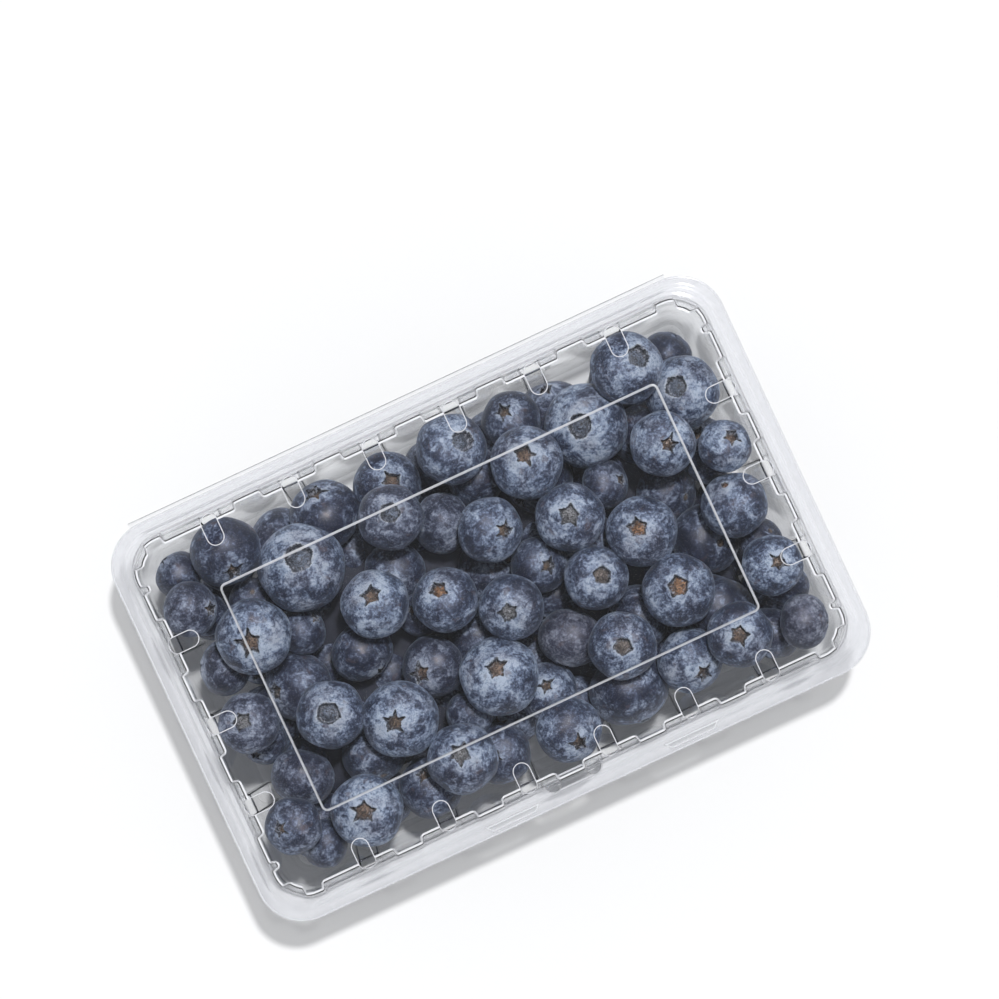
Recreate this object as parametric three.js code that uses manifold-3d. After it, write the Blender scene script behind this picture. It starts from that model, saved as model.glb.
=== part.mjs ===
// A clear clamshell punnet heaped with blueberries, closed.
// Millimetres, +Z up. The origin lies under the middle of the punnet, on the surface it
// stands on. +X runs along its length, the lid is hinged at +Y and snaps shut at -Y.
import Module from 'manifold-3d';
import * as THREE from 'three';
import { mergeVertices } from 'three/addons/utils/BufferGeometryUtils.js';

const wasm = await Module();
wasm.setup();

// The formed sheet and where the two halves meet
const SHEET = 0.6;
const SEAM = 0.3;
const PARTING_HEIGHT = 29.85;
const FLANGE = { length: 150, width: 97.25, radius: 10.5, shift: -0.475 };
const BEAD_RISE = 1.2;
const BEAD_FOOT_INSET = 2.1;
const BEAD_TOP_WIDTH = 0.9;

// The mouth, and how the tray narrows below it and the lid above it
const MOUTH = { length: 141.4, width: 89, radius: 8.5 };
const TRAY_TAPER = 5.2;
const LID_HEIGHT = 10;
const LID_TAPER = 0.9;
const SHOULDER = 0.6;
const CORNER_STEPS = 5;

// Vents, flutes and bays share one pitch along all four sides
const PITCH = 19.84;
const BAY_WIDTH = 5.6;
const BAY_DEPTH = 1.6;
const RAMP = 0.9;
const PANEL_ENDS = { long: 61.2, short: 35.2 };
const CORNER_WINDOW = 0.2;
const RIB_WIDTH = 6.4;
const RIB_DEPTH = 1.2;
const RIB_TOP = 24;
const RIB_FADE = 2;
const WALL_GAP_AT_MOUTH = 0.3;
const VENT = { width: 3.8, length: 7.3, inset: 1, lowest: 3 };
const FLOOR_VENT_TOP = 5.5;
const VENT_ARC_STEPS = 3;

// The label field on the lid, and the raised middle of the tray's floor
const LABEL_FIELD = { length: 107.3, width: 55.8, rise: 0.5 };
const LABEL_SLOPE = 0.4;
const FLOOR_PANEL = { length: 104, width: 54, rise: 1.2 };
const PAD_RADIUS = 2;
const PAD_OVERLAP = 1;
const FOOT_ROUND = 1.2;

// The hinge fold at the back, and the catch at the front
const HINGE = { y: 48.75, radius: 0.35, from: -66.7, to: 65.7 };
const ROUND_SIDES = 10;
const SNAP = { x: 4.9, y: -43.9, radius: 2, height: 3.4 };
const THUMB_REST = { halfWidth: 5, y: -46, height: 1.9 };
const LATCH_TABS = [-16.2, 28];
const LATCH_TAB = { width: 13.6, depth: 1.6, rise: 0.9, y: -46.5 };

// One berry: how flat it is, its cup as shares of its radius, and its sides and rows of faces
const FLATNESS = 0.86;
const CUP = { radius: 0.26, depth: 0.2 };
const TOP_BERRY = { sides: 8, rows: [0.56, 0.2, -0.2, -0.58] };
const LOWER_BERRY = { sides: 7, rows: [0.5, 0, -0.5] };

// The heap: how the berries settle, and the middle that they are fused to
const SEED = 12345;
const SETTLE_ROUNDS = 400;
const CONTACT = 0.94;
const WALL_GAP = 0.4;
const LAYER_DROP = 11.5;
const TOP_WEIGHT = 6;
const PULL_HOME = 0.1;
const SINK = 0.06;
const CORE = { inset: 9, bottom: 6, top: 24, radius: 5, crown: 2, crownInset: 3 };
const NEAR_WALL = 1.2;
const NEAR_BED = 11;
const OVER_CORE = 28.6;

const LID_BASE = PARTING_HEIGHT + SEAM / 2;
const TRAY_TOP = PARTING_HEIGHT - SEAM / 2;
const LID_TOP = LID_BASE + LID_HEIGHT - LABEL_FIELD.rise;

// The room that the berries have between the lid's top and the raised floor
const CEILING = LID_TOP - SHEET;
const BED = SHEET + FLOOR_PANEL.rise;
const MOUTH_LEVEL = PARTING_HEIGHT;

// ---------------------------------------------------------------- solids

// A closed geometry as a manifold solid.
function toSolid(geometry) {
  const bare = geometry.clone();
  bare.deleteAttribute('normal');
  bare.deleteAttribute('uv');
  const merged = mergeVertices(bare, 1e-4);
  return new wasm.Manifold(new wasm.Mesh({
    numProp: 3,
    vertProperties: new Float32Array(merged.attributes.position.array),
    triVerts: new Uint32Array(merged.index.array),
  }));
}

// A manifold solid as a geometry.
function toGeometry(solid) {
  const mesh = solid.getMesh();
  const geometry = new THREE.BufferGeometry();
  geometry.setAttribute('position', new THREE.BufferAttribute(mesh.vertProperties, 3));
  geometry.setIndex(new THREE.BufferAttribute(mesh.triVerts, 1));
  geometry.computeVertexNormals();
  return geometry;
}

const unite = (solids) => solids.reduce((whole, solid) => whole.add(solid));

// The largest connected body of a solid, with sealed hollows and loose scraps left out.
function mainBody(solid) {
  const bodies = solid.decompose();
  return bodies.reduce((best, body) => (body.volume() > best.volume() ? body : best));
}

// ---------------------------------------------------------------- outlines

// Each side walks anticlockwise, with the corner that follows it.
const SIDES = [
  { ahead: [1, 0], out: [0, -1], long: true },
  { ahead: [0, 1], out: [1, 0], long: false },
  { ahead: [-1, 0], out: [0, 1], long: true },
  { ahead: [0, -1], out: [-1, 0], long: false },
];

// Stretches of one side that lie between the bays, out to the last one's end.
function panelsBetween(bayCentres, end) {
  const edges = [-end, ...bayCentres.flatMap((x) => [x - BAY_WIDTH / 2, x + BAY_WIDTH / 2]), end];
  const panels = [];
  for (let i = 0; i < edges.length; i += 2) panels.push([edges[i], edges[i + 1]]);
  return panels;
}

const LID_PANELS = {
  long: panelsBetween([-2, -1, 0, 1, 2].map((n) => n * PITCH), PANEL_ENDS.long),
  short: panelsBetween([-1.5, -0.5, 0.5, 1.5].map((n) => n * PITCH), PANEL_ENDS.short),
  corner: true,
};

const VENT_PLACES = {
  long: [-2.5, -1.5, -0.5, 0.5, 1.5, 2.5].map((n) => n * PITCH),
  short: [-1, 0, 1].map((n) => n * PITCH),
};

const ribsAt = (centres) => centres.map((x) => [x - RIB_WIDTH / 2, x + RIB_WIDTH / 2]);

const TRAY_RIBS = {
  long: ribsAt(VENT_PLACES.long),
  short: ribsAt(VENT_PLACES.short),
  corner: false,
};

const NO_WINDOWS = { long: [], short: [], corner: false };

// The stations of an outline: where each point stands, and whether it is set back (1) in a
// window or not (0). The inner face of a sheet has its windows wider by the spread.
function stationsOf(windows, spread = 0, cornerSteps = CORNER_STEPS) {
  const stations = [];
  SIDES.forEach((side, number) => {
    for (const [from, to] of side.long ? windows.long : windows.short) {
      const start = from - spread;
      const end = to + spread;
      stations.push({ number, along: start, set: 0 }, { number, along: start + RAMP, set: 1 });
      stations.push({ number, along: end - RAMP, set: 1 }, { number, along: end, set: 0 });
    }
    for (let step = 0; step <= cornerSteps; step += 1) {
      const turn = step / cornerSteps;
      const inWindow = windows.corner && Math.abs(turn - 0.5) < CORNER_WINDOW;
      stations.push({ number, turn, set: inWindow ? 1 : 0 });
    }
  });
  return stations;
}

// One ring of points: a rounded rectangle with its windows set back by the setback. The
// shift moves it along Y.
function ring(stations, { length, width, radius, shift = 0, setback = 0, z }) {
  const points = stations.map(({ number, along, turn, set }) => {
    const { ahead, out, long } = SIDES[number];
    const reach = (long ? length : width) / 2;
    const across = (long ? width : length) / 2;
    let normal = out;
    let base = [ahead[0] * along + out[0] * across, ahead[1] * along + out[1] * across];
    if (turn !== undefined) {
      const angle = turn * Math.PI / 2;
      normal = [0, 1].map((i) => out[i] * Math.cos(angle) + ahead[i] * Math.sin(angle));
      base = [0, 1].map((i) => ahead[i] * (reach - radius) + out[i] * (across - radius)
        + normal[i] * radius);
    }
    return [base[0] - normal[0] * set * setback, base[1] - normal[1] * set * setback + shift];
  });
  return { points, z, flat: setback === 0 };
}

// A rounded rectangle drawn in by the same inset all round.
const insetBy = (size, inset) => ({
  length: size.length - 2 * inset,
  width: size.width - 2 * inset,
  radius: Math.max(size.radius - inset, 0.8),
  shift: size.shift,
});

// A closed body through rings that are listed from the lowest to the highest.
function loft(rings) {
  const count = rings[0].points.length;
  const positions = rings.flatMap(({ points, z }) => points.flatMap(([x, y]) => [x, y, z]));
  const faces = [];
  for (let level = 0; level + 1 < rings.length; level += 1) {
    for (let i = 0; i < count; i += 1) {
      const a = level * count + i;
      const b = level * count + (i + 1) % count;
      faces.push(a, b, b + count, a, b + count, a + count);
    }
  }
  const closeEnd = (level, up) => {
    const { points, z, flat } = rings[level];
    const first = level * count;
    if (flat) {
      const centre = positions.length / 3;
      positions.push(0, 0, z);
      for (let i = 0; i < count; i += 1) {
        const next = (i + 1) % count;
        faces.push(centre, first + (up ? i : next), first + (up ? next : i));
      }
      return;
    }
    const contour = points.map(([x, y]) => new THREE.Vector2(x, y));
    for (const [a, b, c] of THREE.ShapeUtils.triangulateShape(contour, [])) {
      const anticlockwise = THREE.ShapeUtils.area([contour[a], contour[b], contour[c]]) > 0;
      const [second, third] = anticlockwise === up ? [b, c] : [c, b];
      faces.push(first + a, first + second, first + third);
    }
  };
  closeEnd(0, false);
  closeEnd(rings.length - 1, true);
  const geometry = new THREE.BufferGeometry();
  geometry.setAttribute('position', new THREE.BufferAttribute(new Float32Array(positions), 3));
  geometry.setIndex(faces);
  return toSolid(geometry);
}

// ---------------------------------------------------------------- small shapes

// An upright prism on an outline of [x, y] points.
function prism(outline, fromZ, toZ) {
  const shape = new THREE.Shape(outline.map(([x, y]) => new THREE.Vector2(x, y)));
  const geometry = new THREE.ExtrudeGeometry(shape, { depth: toZ - fromZ, bevelEnabled: false });
  geometry.translate(0, 0, fromZ);
  return toSolid(geometry);
}

// A flat-topped pad with sloping edges, its outline rounded at the corners.
function pad({ length, width }, rise, fromZ, slope) {
  const stations = stationsOf(NO_WINDOWS, 0, 2);
  const foot = { length, width, radius: PAD_RADIUS };
  return loft([
    ring(stations, { ...foot, z: fromZ - PAD_OVERLAP }),
    ring(stations, { ...foot, z: fromZ }),
    ring(stations, { ...insetBy(foot, slope), z: fromZ + rise }),
  ]);
}

// Pill-shaped cutters that stand across the edge, all round; edgeInset is how far in from
// the mouth each pill's outer end lies.
function ventCutters(edgeInset, fromZ, toZ) {
  const half = VENT.width / 2;
  const straight = VENT.length - VENT.width;
  const cutters = [];
  for (const { ahead, out, long } of SIDES) {
    const across = (long ? MOUTH.width : MOUTH.length) / 2 - edgeInset;
    for (const along of long ? VENT_PLACES.long : VENT_PLACES.short) {
      const shape = new THREE.Shape();
      shape.absarc(0, 0, half, Math.PI / 2, 3 * Math.PI / 2, false);
      shape.absarc(straight, 0, half, -Math.PI / 2, Math.PI / 2, false);
      const depth = toZ - fromZ;
      const options = { depth, bevelEnabled: false, curveSegments: VENT_ARC_STEPS };
      const geometry = new THREE.ExtrudeGeometry(shape, options);
      geometry.translate(across - VENT.length + half, 0, fromZ);
      geometry.rotateZ(Math.atan2(out[1], out[0]));
      geometry.translate(ahead[0] * along, ahead[1] * along, 0);
      cutters.push(toSolid(geometry));
    }
  }
  return cutters;
}

// ---------------------------------------------------------------- lid

// The lid's outer face, or its inner face when it is drawn in by the sheet's thickness.
function lidBody(sheet) {
  const stations = stationsOf(LID_PANELS, sheet);
  const low = LID_BASE - (sheet > 0 ? 1 : 0);
  const plate = LID_BASE + SHEET - sheet;
  const beadTop = plate + BEAD_RISE;
  const beadFoot = insetBy(FLANGE, BEAD_FOOT_INSET + sheet);
  const beadEdge = insetBy(MOUTH, sheet - BEAD_TOP_WIDTH);
  const foot = insetBy(MOUTH, sheet);
  const shoulder = insetBy(foot, LID_TAPER);
  const top = insetBy(shoulder, SHOULDER);
  const rise = LID_TOP - sheet;
  const rings = [
    ring(stations, { ...beadFoot, z: low }),
    ring(stations, { ...beadFoot, z: plate }),
    ring(stations, { ...beadEdge, z: beadTop }),
    ring(stations, { ...foot, z: beadTop }),
    ring(stations, { ...shoulder, setback: BAY_DEPTH, z: rise - SHOULDER }),
    ring(stations, { ...top, setback: BAY_DEPTH, z: rise }),
  ];
  return loft(rings);
}

function flangePlate(fromZ) {
  const stations = stationsOf(NO_WINDOWS);
  return loft([
    ring(stations, { ...FLANGE, z: fromZ }),
    ring(stations, { ...FLANGE, z: fromZ + SHEET }),
  ]);
}

// The two round snaps beside the middle bay.
function snapButtons() {
  const { x, y, radius, height } = SNAP;
  const profile = [
    [0, 0],
    [radius, 0],
    [radius, height - radius / 2],
    [radius * 0.7, height - radius * 0.15],
    [0, height],
  ].map(([r, z]) => new THREE.Vector2(r, z));
  return [-x, x].map((place) => {
    const geometry = new THREE.LatheGeometry(profile, ROUND_SIDES);
    geometry.rotateX(Math.PI / 2);
    geometry.translate(place, y, LID_BASE + SHEET);
    return toSolid(geometry);
  });
}

function thumbRest() {
  const { halfWidth, y, height } = THUMB_REST;
  const back = -MOUTH.width / 2 + 2;
  const outline = [[-halfWidth, back], [-halfWidth, y + 1], [-halfWidth + 1, y],
    [halfWidth - 1, y], [halfWidth, y + 1], [halfWidth, back]];
  return prism(outline, LID_BASE + SHEET / 2, LID_BASE + SHEET + height);
}

// The two low tabs on the front flange, wider at the back than at the edge.
function latchTabs() {
  const { width, depth, rise, y } = LATCH_TAB;
  return LATCH_TABS.map((x) => prism([
    [x - width / 2 + depth, y - depth],
    [x + width / 2 - depth, y - depth],
    [x + width / 2, y],
    [x - width / 2, y],
  ], LID_BASE + SHEET / 2, LID_BASE + SHEET + rise));
}

function makeLid() {
  const skin = unite([
    flangePlate(LID_BASE),
    lidBody(0),
    pad(LABEL_FIELD, LABEL_FIELD.rise, LID_TOP, LABEL_SLOPE),
    ...snapButtons(),
    thumbRest(),
    ...latchTabs(),
  ]);
  const room = { length: LABEL_FIELD.length - SHEET, width: LABEL_FIELD.width - SHEET };
  const inside = pad(room, LABEL_FIELD.rise, LID_TOP - SHEET, LABEL_SLOPE);
  const hollow = lidBody(SHEET).add(inside);
  const cutters = ventCutters(VENT.inset, LID_BASE + VENT.lowest, LID_TOP + 2);
  return mainBody(cutters.reduce((body, cutter) => body.subtract(cutter),
    skin.subtract(hollow)));
}

// ---------------------------------------------------------------- tray

// How far the tray's wall is drawn in from the mouth at a height.
function taperAt(z) {
  const below = 1 - Math.max(z, 0) / MOUTH_LEVEL;
  return WALL_GAP_AT_MOUTH + (TRAY_TAPER - WALL_GAP_AT_MOUTH) * below;
}

// The tray's outer face up to its bead, or the hollow inside it.
function trayBody(sheet) {
  const stations = stationsOf(TRAY_RIBS, sheet, 4);
  const floor = insetBy(MOUTH, TRAY_TAPER + sheet);
  const mouth = insetBy(MOUTH, WALL_GAP_AT_MOUTH + sheet);
  const at = (z) => insetBy(MOUTH, taperAt(z) + sheet);
  const underFlange = TRAY_TOP - SHEET;
  const rings = [
    ring(stations, { ...insetBy(floor, FOOT_ROUND), z: sheet }),
    ring(stations, { ...floor, setback: RIB_DEPTH, z: sheet + FOOT_ROUND }),
    ring(stations, { ...at(RIB_TOP), setback: RIB_DEPTH, z: RIB_TOP }),
    ring(stations, { ...at(RIB_TOP + RIB_FADE), z: RIB_TOP + RIB_FADE }),
    ring(stations, { ...mouth, z: underFlange }),
  ];
  if (sheet > 0) return loft([...rings, ring(stations, { ...mouth, z: TRAY_TOP + 3 })]);
  return loft([...rings,
    ring(stations, { ...insetBy(FLANGE, BEAD_FOOT_INSET + SHEET + SEAM), z: underFlange }),
    ring(stations, { ...insetBy(FLANGE, BEAD_FOOT_INSET + SHEET + SEAM), z: TRAY_TOP }),
    ring(stations, { ...insetBy(MOUTH, SHEET + SEAM - BEAD_TOP_WIDTH), z: TRAY_TOP + BEAD_RISE }),
  ]);
}

// The fold that the lid turns on: a strip behind the flange with a rounded edge.
function hingeFold() {
  const { y, radius, from, to } = HINGE;
  const length = to - from;
  const bead = new THREE.CylinderGeometry(radius, radius, length, ROUND_SIDES);
  bead.rotateZ(Math.PI / 2);
  bead.translate((from + to) / 2, y, PARTING_HEIGHT);
  const back = FLANGE.width / 2 + FLANGE.shift - 1;
  const strip = [[from, back], [to, back], [to, y], [from, y]];
  return [toSolid(bead), prism(strip, TRAY_TOP - SHEET, TRAY_TOP)];
}

function makeTray() {
  const skin = unite([trayBody(0), flangePlate(TRAY_TOP - SHEET), ...hingeFold()]);
  const { length, width, rise } = FLOOR_PANEL;
  const raised = { length: length + 2 * SHEET, width: width + 2 * SHEET };
  const hollow = trayBody(SHEET).subtract(pad(raised, rise, SHEET, rise));
  const underside = pad({ length, width }, rise, 0, rise);
  const cutters = [underside, ...ventCutters(TRAY_TAPER, -1, FLOOR_VENT_TOP)];
  return mainBody(cutters.reduce((body, cutter) => body.subtract(cutter),
    skin.subtract(hollow)));
}

// ---------------------------------------------------------------- blueberries

// The berries that lie on top: place across the punnet, diameter, which way the crown faces
// as a share of the radius, and the depth in layers below the lid.
const CROWN_BERRIES = [
  [-49.5, 35.9, 16.3, 0, -0.7, 0],
  [-26.5, 35.1, 16.6, 0, 0.77, 0.4],
  [-10.4, 34.5, 15.7, 0.23, 0.06, 1],
  [-12.7, 25.6, 15.1, 0.07, 0.15, 0],
  [-35.3, 23.9, 20.2, 0.08, 0.27, 0],
  [-62.4, 25.8, 12.9, 0.78, -0.35, 0],
  [-51.8, 14.3, 17.4, -0.13, -0.13, 0],
  [-60.8, -2.8, 14.0, -0.16, 0.18, 0],
  [-62.7, -27.9, 13.2, -0.5, 0.15, 0],
  [-45.2, -31.7, 16.8, -0.05, 0.04, 0],
  [-43.5, -8.6, 15.7, -0.01, 0.1, 0],
  [-29.9, -16.3, 17.7, -0.19, 0.01, 0],
  [-18.3, -9.0, 14.3, -0.5, 0, 1],
  [-24.0, 9.4, 15.7, 0.04, 0.34, 0],
  [-9.3, 3.6, 15.1, -0.07, 0.44, 0],
  [-4.5, -16.6, 18.2, 0.02, 0.28, 0],
  [-20.9, -30.3, 16.3, 0.03, 0.21, 0],
  [2.8, -24.7, 13.5, 0.02, 0.3, 1],
  [-31.4, 0.9, 14.6, 0.3, -0.93, 1],
  [-2.8, 19.6, 14.0, -0.8, 0.5, 1],
  [6.2, 34.4, 16.3, 0.46, 0.07, 0],
  [21.1, 36.4, 13.5, -0.13, 0.42, 0.6],
  [35.9, 26.0, 19.3, -0.19, 0.05, 0],
  [20.3, 23.8, 16.8, 0.03, 0.28, 0],
  [49.5, 35.9, 16.6, 0.49, 0.16, 0],
  [61.7, 34.2, 11.8, 0.7, 0.7, 1],
  [58.6, 23.8, 17.0, -0.14, 0.24, 0],
  [49.9, 15.1, 15.1, 0.15, -0.1, 0],
  [63.0, 8.4, 12.1, 0.43, 0.28, 0],
  [6.4, 13.5, 15.1, 0.46, -0.21, 0],
  [23.8, 8.5, 15.9, 0.01, 0.1, 0],
  [13.1, 1.7, 13.2, 0.31, -0.17, 1],
  [37.0, -1.1, 16.3, -0.08, 0.18, 0],
  [2.8, -5.0, 15.1, -0.16, -0.1, 0],
  [23.3, -6.2, 14.8, 0.24, 0.02, 0],
  [58.3, -4.5, 15.5, -0.04, 0.75, 0],
  [12.3, -16.3, 14.9, -0.6, -0.8, 0.5],
  [22.1, -22.6, 15.7, -0.01, 0, 0],
  [39.0, -16.6, 16.8, 0.03, 0.15, 0],
  [60.2, -20.2, 14.0, 0.24, 0.03, 0],
  [19.5, -33.6, 18.5, 0.02, -0.97, 0.8],
  [36.2, -31.7, 15.1, 0.22, -0.58, 0.4],
  [46.0, -31.4, 15.1, -0.03, 0.04, 0],
  [3.4, -35.6, 15.1, 0.15, -0.53, 0],
  [61.7, -34.8, 12.6, 0.9, -0.4, 0.3],
  [54.1, -34.2, 12.9, -0.7, -0.7, 1],
  [-30.3, -36.8, 14.6, 0, 0.55, 1],
  [-55.5, -19.1, 14.6, -0.6, -0.8, 1],
  [-63.9, 10.6, 12.9, -0.9, 0.4, 1],
];

// The layers underneath, as rows of berries: height, berries along and across, and the room
// that each one takes along the punnet.
const LOWER_LAYERS = [
  { z: 9.5, along: 7, across: 4, step: 17.6 },
  { z: 20, along: 6, across: 4, step: 20 },
];
const ROW_STEP = 18.6;
const ROW_SHIFT = 4;
const SCATTER = 3;
const SMALLEST = 14.2;
const SPREAD_OF_SIZE = 3.2;
const LOWER_CEILING = 6.5;

// The small berries in the gaps: spots are tried level by level, from the top down
const FILL_SEED = 777;
const FILL = { start: 24.5, drop: 1.7, levels: 11, step: 3.8, columns: 17, rows: 10 };
const FILL_SCATTER = 2;
const FILL_CONTACT = 0.86;
const FILL_CEILING = 30.5;
const LEAST_ROOM = 5.2;
const MOST_ROOM = 7.4;

// A repeatable run of draws between 0 and 1.
function drawsFrom(seed) {
  let state = seed;
  return () => {
    state = (state * 16807) % 2147483647;
    return state / 2147483647;
  };
}

// How far a berry reaches from its middle along X, Y and Z.
function reachOf(radius, axis) {
  return axis.map((part) => radius * Math.sqrt(1 - part * part * (1 - FLATNESS * FLATNESS)));
}

function berryAt(x, y, z, diameter, axis, onTop) {
  const radius = diameter / 2;
  return {
    place: [x, y, z],
    home: onTop ? [x, y] : null,
    radius,
    axis,
    reach: reachOf(radius, axis),
    weight: onTop ? TOP_WEIGHT : 1,
  };
}

function unit(vector) {
  const [x, y, z] = vector;
  const size = Math.sqrt(x * x + y * y + z * z);
  return [x / size, y / size, z / size];
}

function berriesAtStart() {
  const draw = drawsFrom(SEED);
  const berries = CROWN_BERRIES.map(([x, y, diameter, tiltX, tiltY, depth]) => {
    const flat = tiltX * tiltX + tiltY * tiltY;
    const up = Math.sqrt(Math.max(0.01, 1 - flat));
    const axis = unit([tiltX, tiltY, up]);
    const z = CEILING - WALL_GAP - reachOf(diameter / 2, axis)[2] - LAYER_DROP * depth;
    return berryAt(x, y, z, diameter, axis, true);
  });
  for (const { z, along, across, step } of LOWER_LAYERS) {
    for (let i = 0; i < along; i += 1) {
      for (let j = 0; j < across; j += 1) {
        const diameter = SMALLEST + SPREAD_OF_SIZE * draw();
        const shift = j % 2 ? ROW_SHIFT : -ROW_SHIFT;
        const x = (i - (along - 1) / 2) * step + shift + (draw() - 0.5) * SCATTER;
        const y = (j - (across - 1) / 2) * ROW_STEP + (draw() - 0.5) * SCATTER;
        const level = z + (draw() - 0.5) * SCATTER;
        const axis = unit([draw() - 0.5, draw() - 0.5, draw() - 0.5]);
        berries.push(berryAt(x, y, level, diameter, axis, false));
      }
    }
  }
  return berries;
}

// Half the length and the width that the berries have at a height, inside the ribs.
function roomAt(z) {
  const up = (z - MOUTH_LEVEL) / (CEILING - MOUTH_LEVEL);
  const drawnIn = z < MOUTH_LEVEL
    ? SHEET + RIB_DEPTH + taperAt(z)
    : SHEET + WALL_GAP_AT_MOUTH + RIB_DEPTH * (1 - up) + (LID_TAPER + BAY_DEPTH) * up;
  return [MOUTH.length / 2 - drawnIn, MOUTH.width / 2 - drawnIn];
}

const clamp = (value, low, high) => Math.min(high, Math.max(low, value));

// Keeps a berry inside the punnet, clear of its walls, floor and lid.
function keepInside(berry) {
  const { place, reach, home } = berry;
  const [halfX, halfY] = roomAt(place[2]);
  const farX = halfX - reach[0] - WALL_GAP;
  const farY = halfY - reach[1] - WALL_GAP;
  place[0] = clamp(place[0], -farX, farX);
  place[1] = clamp(place[1], -farY, farY);
  const round = MOUTH.radius;
  const past = [Math.abs(place[0]) - halfX + round, Math.abs(place[1]) - halfY + round];
  if (past[0] > 0 && past[1] > 0) {
    const size = Math.sqrt(past[0] * past[0] + past[1] * past[1]);
    const most = Math.max(round - berry.radius - WALL_GAP, 0.01);
    if (size > most) {
      place[0] = Math.sign(place[0]) * (halfX - round + past[0] * most / size);
      place[1] = Math.sign(place[1]) * (halfY - round + past[1] * most / size);
    }
  }
  const top = CEILING - WALL_GAP - reach[2] - (home ? 0 : LOWER_CEILING);
  place[2] = clamp(place[2], BED + WALL_GAP + reach[2], top);
}

// Pushes two berries apart where they overlap, the lighter one further.
function pushApart(a, b) {
  const touch = (a.radius + b.radius) * CONTACT;
  const gap = [0, 1, 2].map((i) => b.place[i] - a.place[i]);
  if (gap.some((part) => Math.abs(part) > touch)) return;
  const size = Math.sqrt(gap[0] * gap[0] + gap[1] * gap[1] + gap[2] * gap[2]);
  if (size >= touch || size === 0) return;
  const push = (touch - size) / size;
  const share = b.weight / (a.weight + b.weight);
  for (let i = 0; i < 3; i += 1) {
    a.place[i] -= gap[i] * push * share;
    b.place[i] += gap[i] * push * (1 - share);
  }
}

// Lets the heap settle until the berries lie against each other and the walls.
function settledBerries() {
  const berries = berriesAtStart();
  for (let round = 0; round < SETTLE_ROUNDS; round += 1) {
    for (const { place, home } of berries) {
      if (home) {
        place[0] += (home[0] - place[0]) * PULL_HOME;
        place[1] += (home[1] - place[1]) * PULL_HOME;
      } else {
        place[2] -= SINK;
      }
    }
    berries.forEach((a, i) => berries.slice(i + 1).forEach((b) => pushApart(a, b)));
    berries.forEach(keepInside);
  }
  return berries;
}

// How much room a spot in the heap has to the walls, the bed and the top of the fill.
function roomRound(x, y, z) {
  const [halfX, halfY] = roomAt(z);
  let room = Math.min(halfX - Math.abs(x), halfY - Math.abs(y), z - BED, FILL_CEILING - z);
  const pastX = Math.abs(x) - halfX + MOUTH.radius;
  const pastY = Math.abs(y) - halfY + MOUTH.radius;
  if (pastX > 0 && pastY > 0) {
    room = Math.min(room, MOUTH.radius - Math.sqrt(pastX * pastX + pastY * pastY));
  }
  return room - WALL_GAP;
}

// The heap with small berries in the gaps that the others leave.
function fillGaps(berries) {
  const draw = drawsFrom(FILL_SEED);
  const heap = [...berries];
  for (let depth = 0; depth < FILL.levels; depth += 1) {
    const z = FILL.start - depth * FILL.drop;
    for (let i = -FILL.columns; i <= FILL.columns; i += 1) {
      for (let j = -FILL.rows; j <= FILL.rows; j += 1) {
        const x = i * FILL.step + (draw() - 0.5) * FILL_SCATTER;
        const y = j * FILL.step + (draw() - 0.5) * FILL_SCATTER;
        const room = heap.reduce((least, { place, radius }) => {
          if (least < LEAST_ROOM) return least;
          const gap = [place[0] - x, place[1] - y, place[2] - z];
          const apart = Math.sqrt(gap[0] * gap[0] + gap[1] * gap[1] + gap[2] * gap[2]);
          return Math.min(least, apart - radius * FILL_CONTACT);
        }, Math.min(roomRound(x, y, z), MOST_ROOM));
        if (room >= LEAST_ROOM) {
          const axis = unit([draw() - 0.5, draw() - 0.5, draw() - 0.5]);
          heap.push(berryAt(x, y, z, 2 * room, axis, false));
        }
      }
    }
  }
  return heap;
}

// A berry: flattened from crown to stem, with the crown's shallow cup.
function berrySolid({ place, radius, axis, home }) {
  const { sides, rows } = home ? TOP_BERRY : LOWER_BERRY;
  const half = radius * FLATNESS;
  const profile = [
    [0, half - CUP.depth * radius],
    [CUP.radius * radius, half],
    ...rows.map((turn) => [
      radius * Math.cos(turn * Math.PI / 2),
      half * Math.sin(turn * Math.PI / 2),
    ]),
    [0, -half],
  ].reverse().map(([r, z]) => new THREE.Vector2(r, z));
  const geometry = new THREE.LatheGeometry(profile, sides);
  const up = new THREE.Vector3(0, 1, 0);
  const facing = new THREE.Vector3(...axis);
  geometry.applyQuaternion(new THREE.Quaternion().setFromUnitVectors(up, facing));
  geometry.translate(...place);
  return toSolid(geometry);
}

// The middle of the heap, which the berries are fused to.
function heapCore() {
  const stations = stationsOf(NO_WINDOWS, 0, 2);
  const [bottom, top] = [CORE.bottom, CORE.top].map((z) => {
    const [halfX, halfY] = roomAt(z);
    return {
      length: 2 * (halfX - CORE.inset),
      width: 2 * (halfY - CORE.inset),
      radius: CORE.radius,
      z,
    };
  });
  return loft([
    ring(stations, bottom),
    ring(stations, top),
    ring(stations, { ...insetBy(top, CORE.crownInset), z: CORE.top + CORE.crown }),
  ]);
}

// Whether a berry shows from outside: on top, beside the wall, on the bed or over the core.
function isOuter({ place, radius, home }) {
  const [x, y, z] = place;
  const [halfX, halfY] = roomAt(z);
  const toWall = Math.min(halfX - Math.abs(x), halfY - Math.abs(y));
  return home !== null || toWall < radius * NEAR_WALL || z < NEAR_BED || z + radius > OVER_CORE;
}

function makeHeap() {
  const outer = fillGaps(settledBerries()).filter(isOuter);
  return mainBody(unite([heapCore(), ...outer.map(berrySolid)]));
}

// ---------------------------------------------------------------- scene graph

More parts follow.
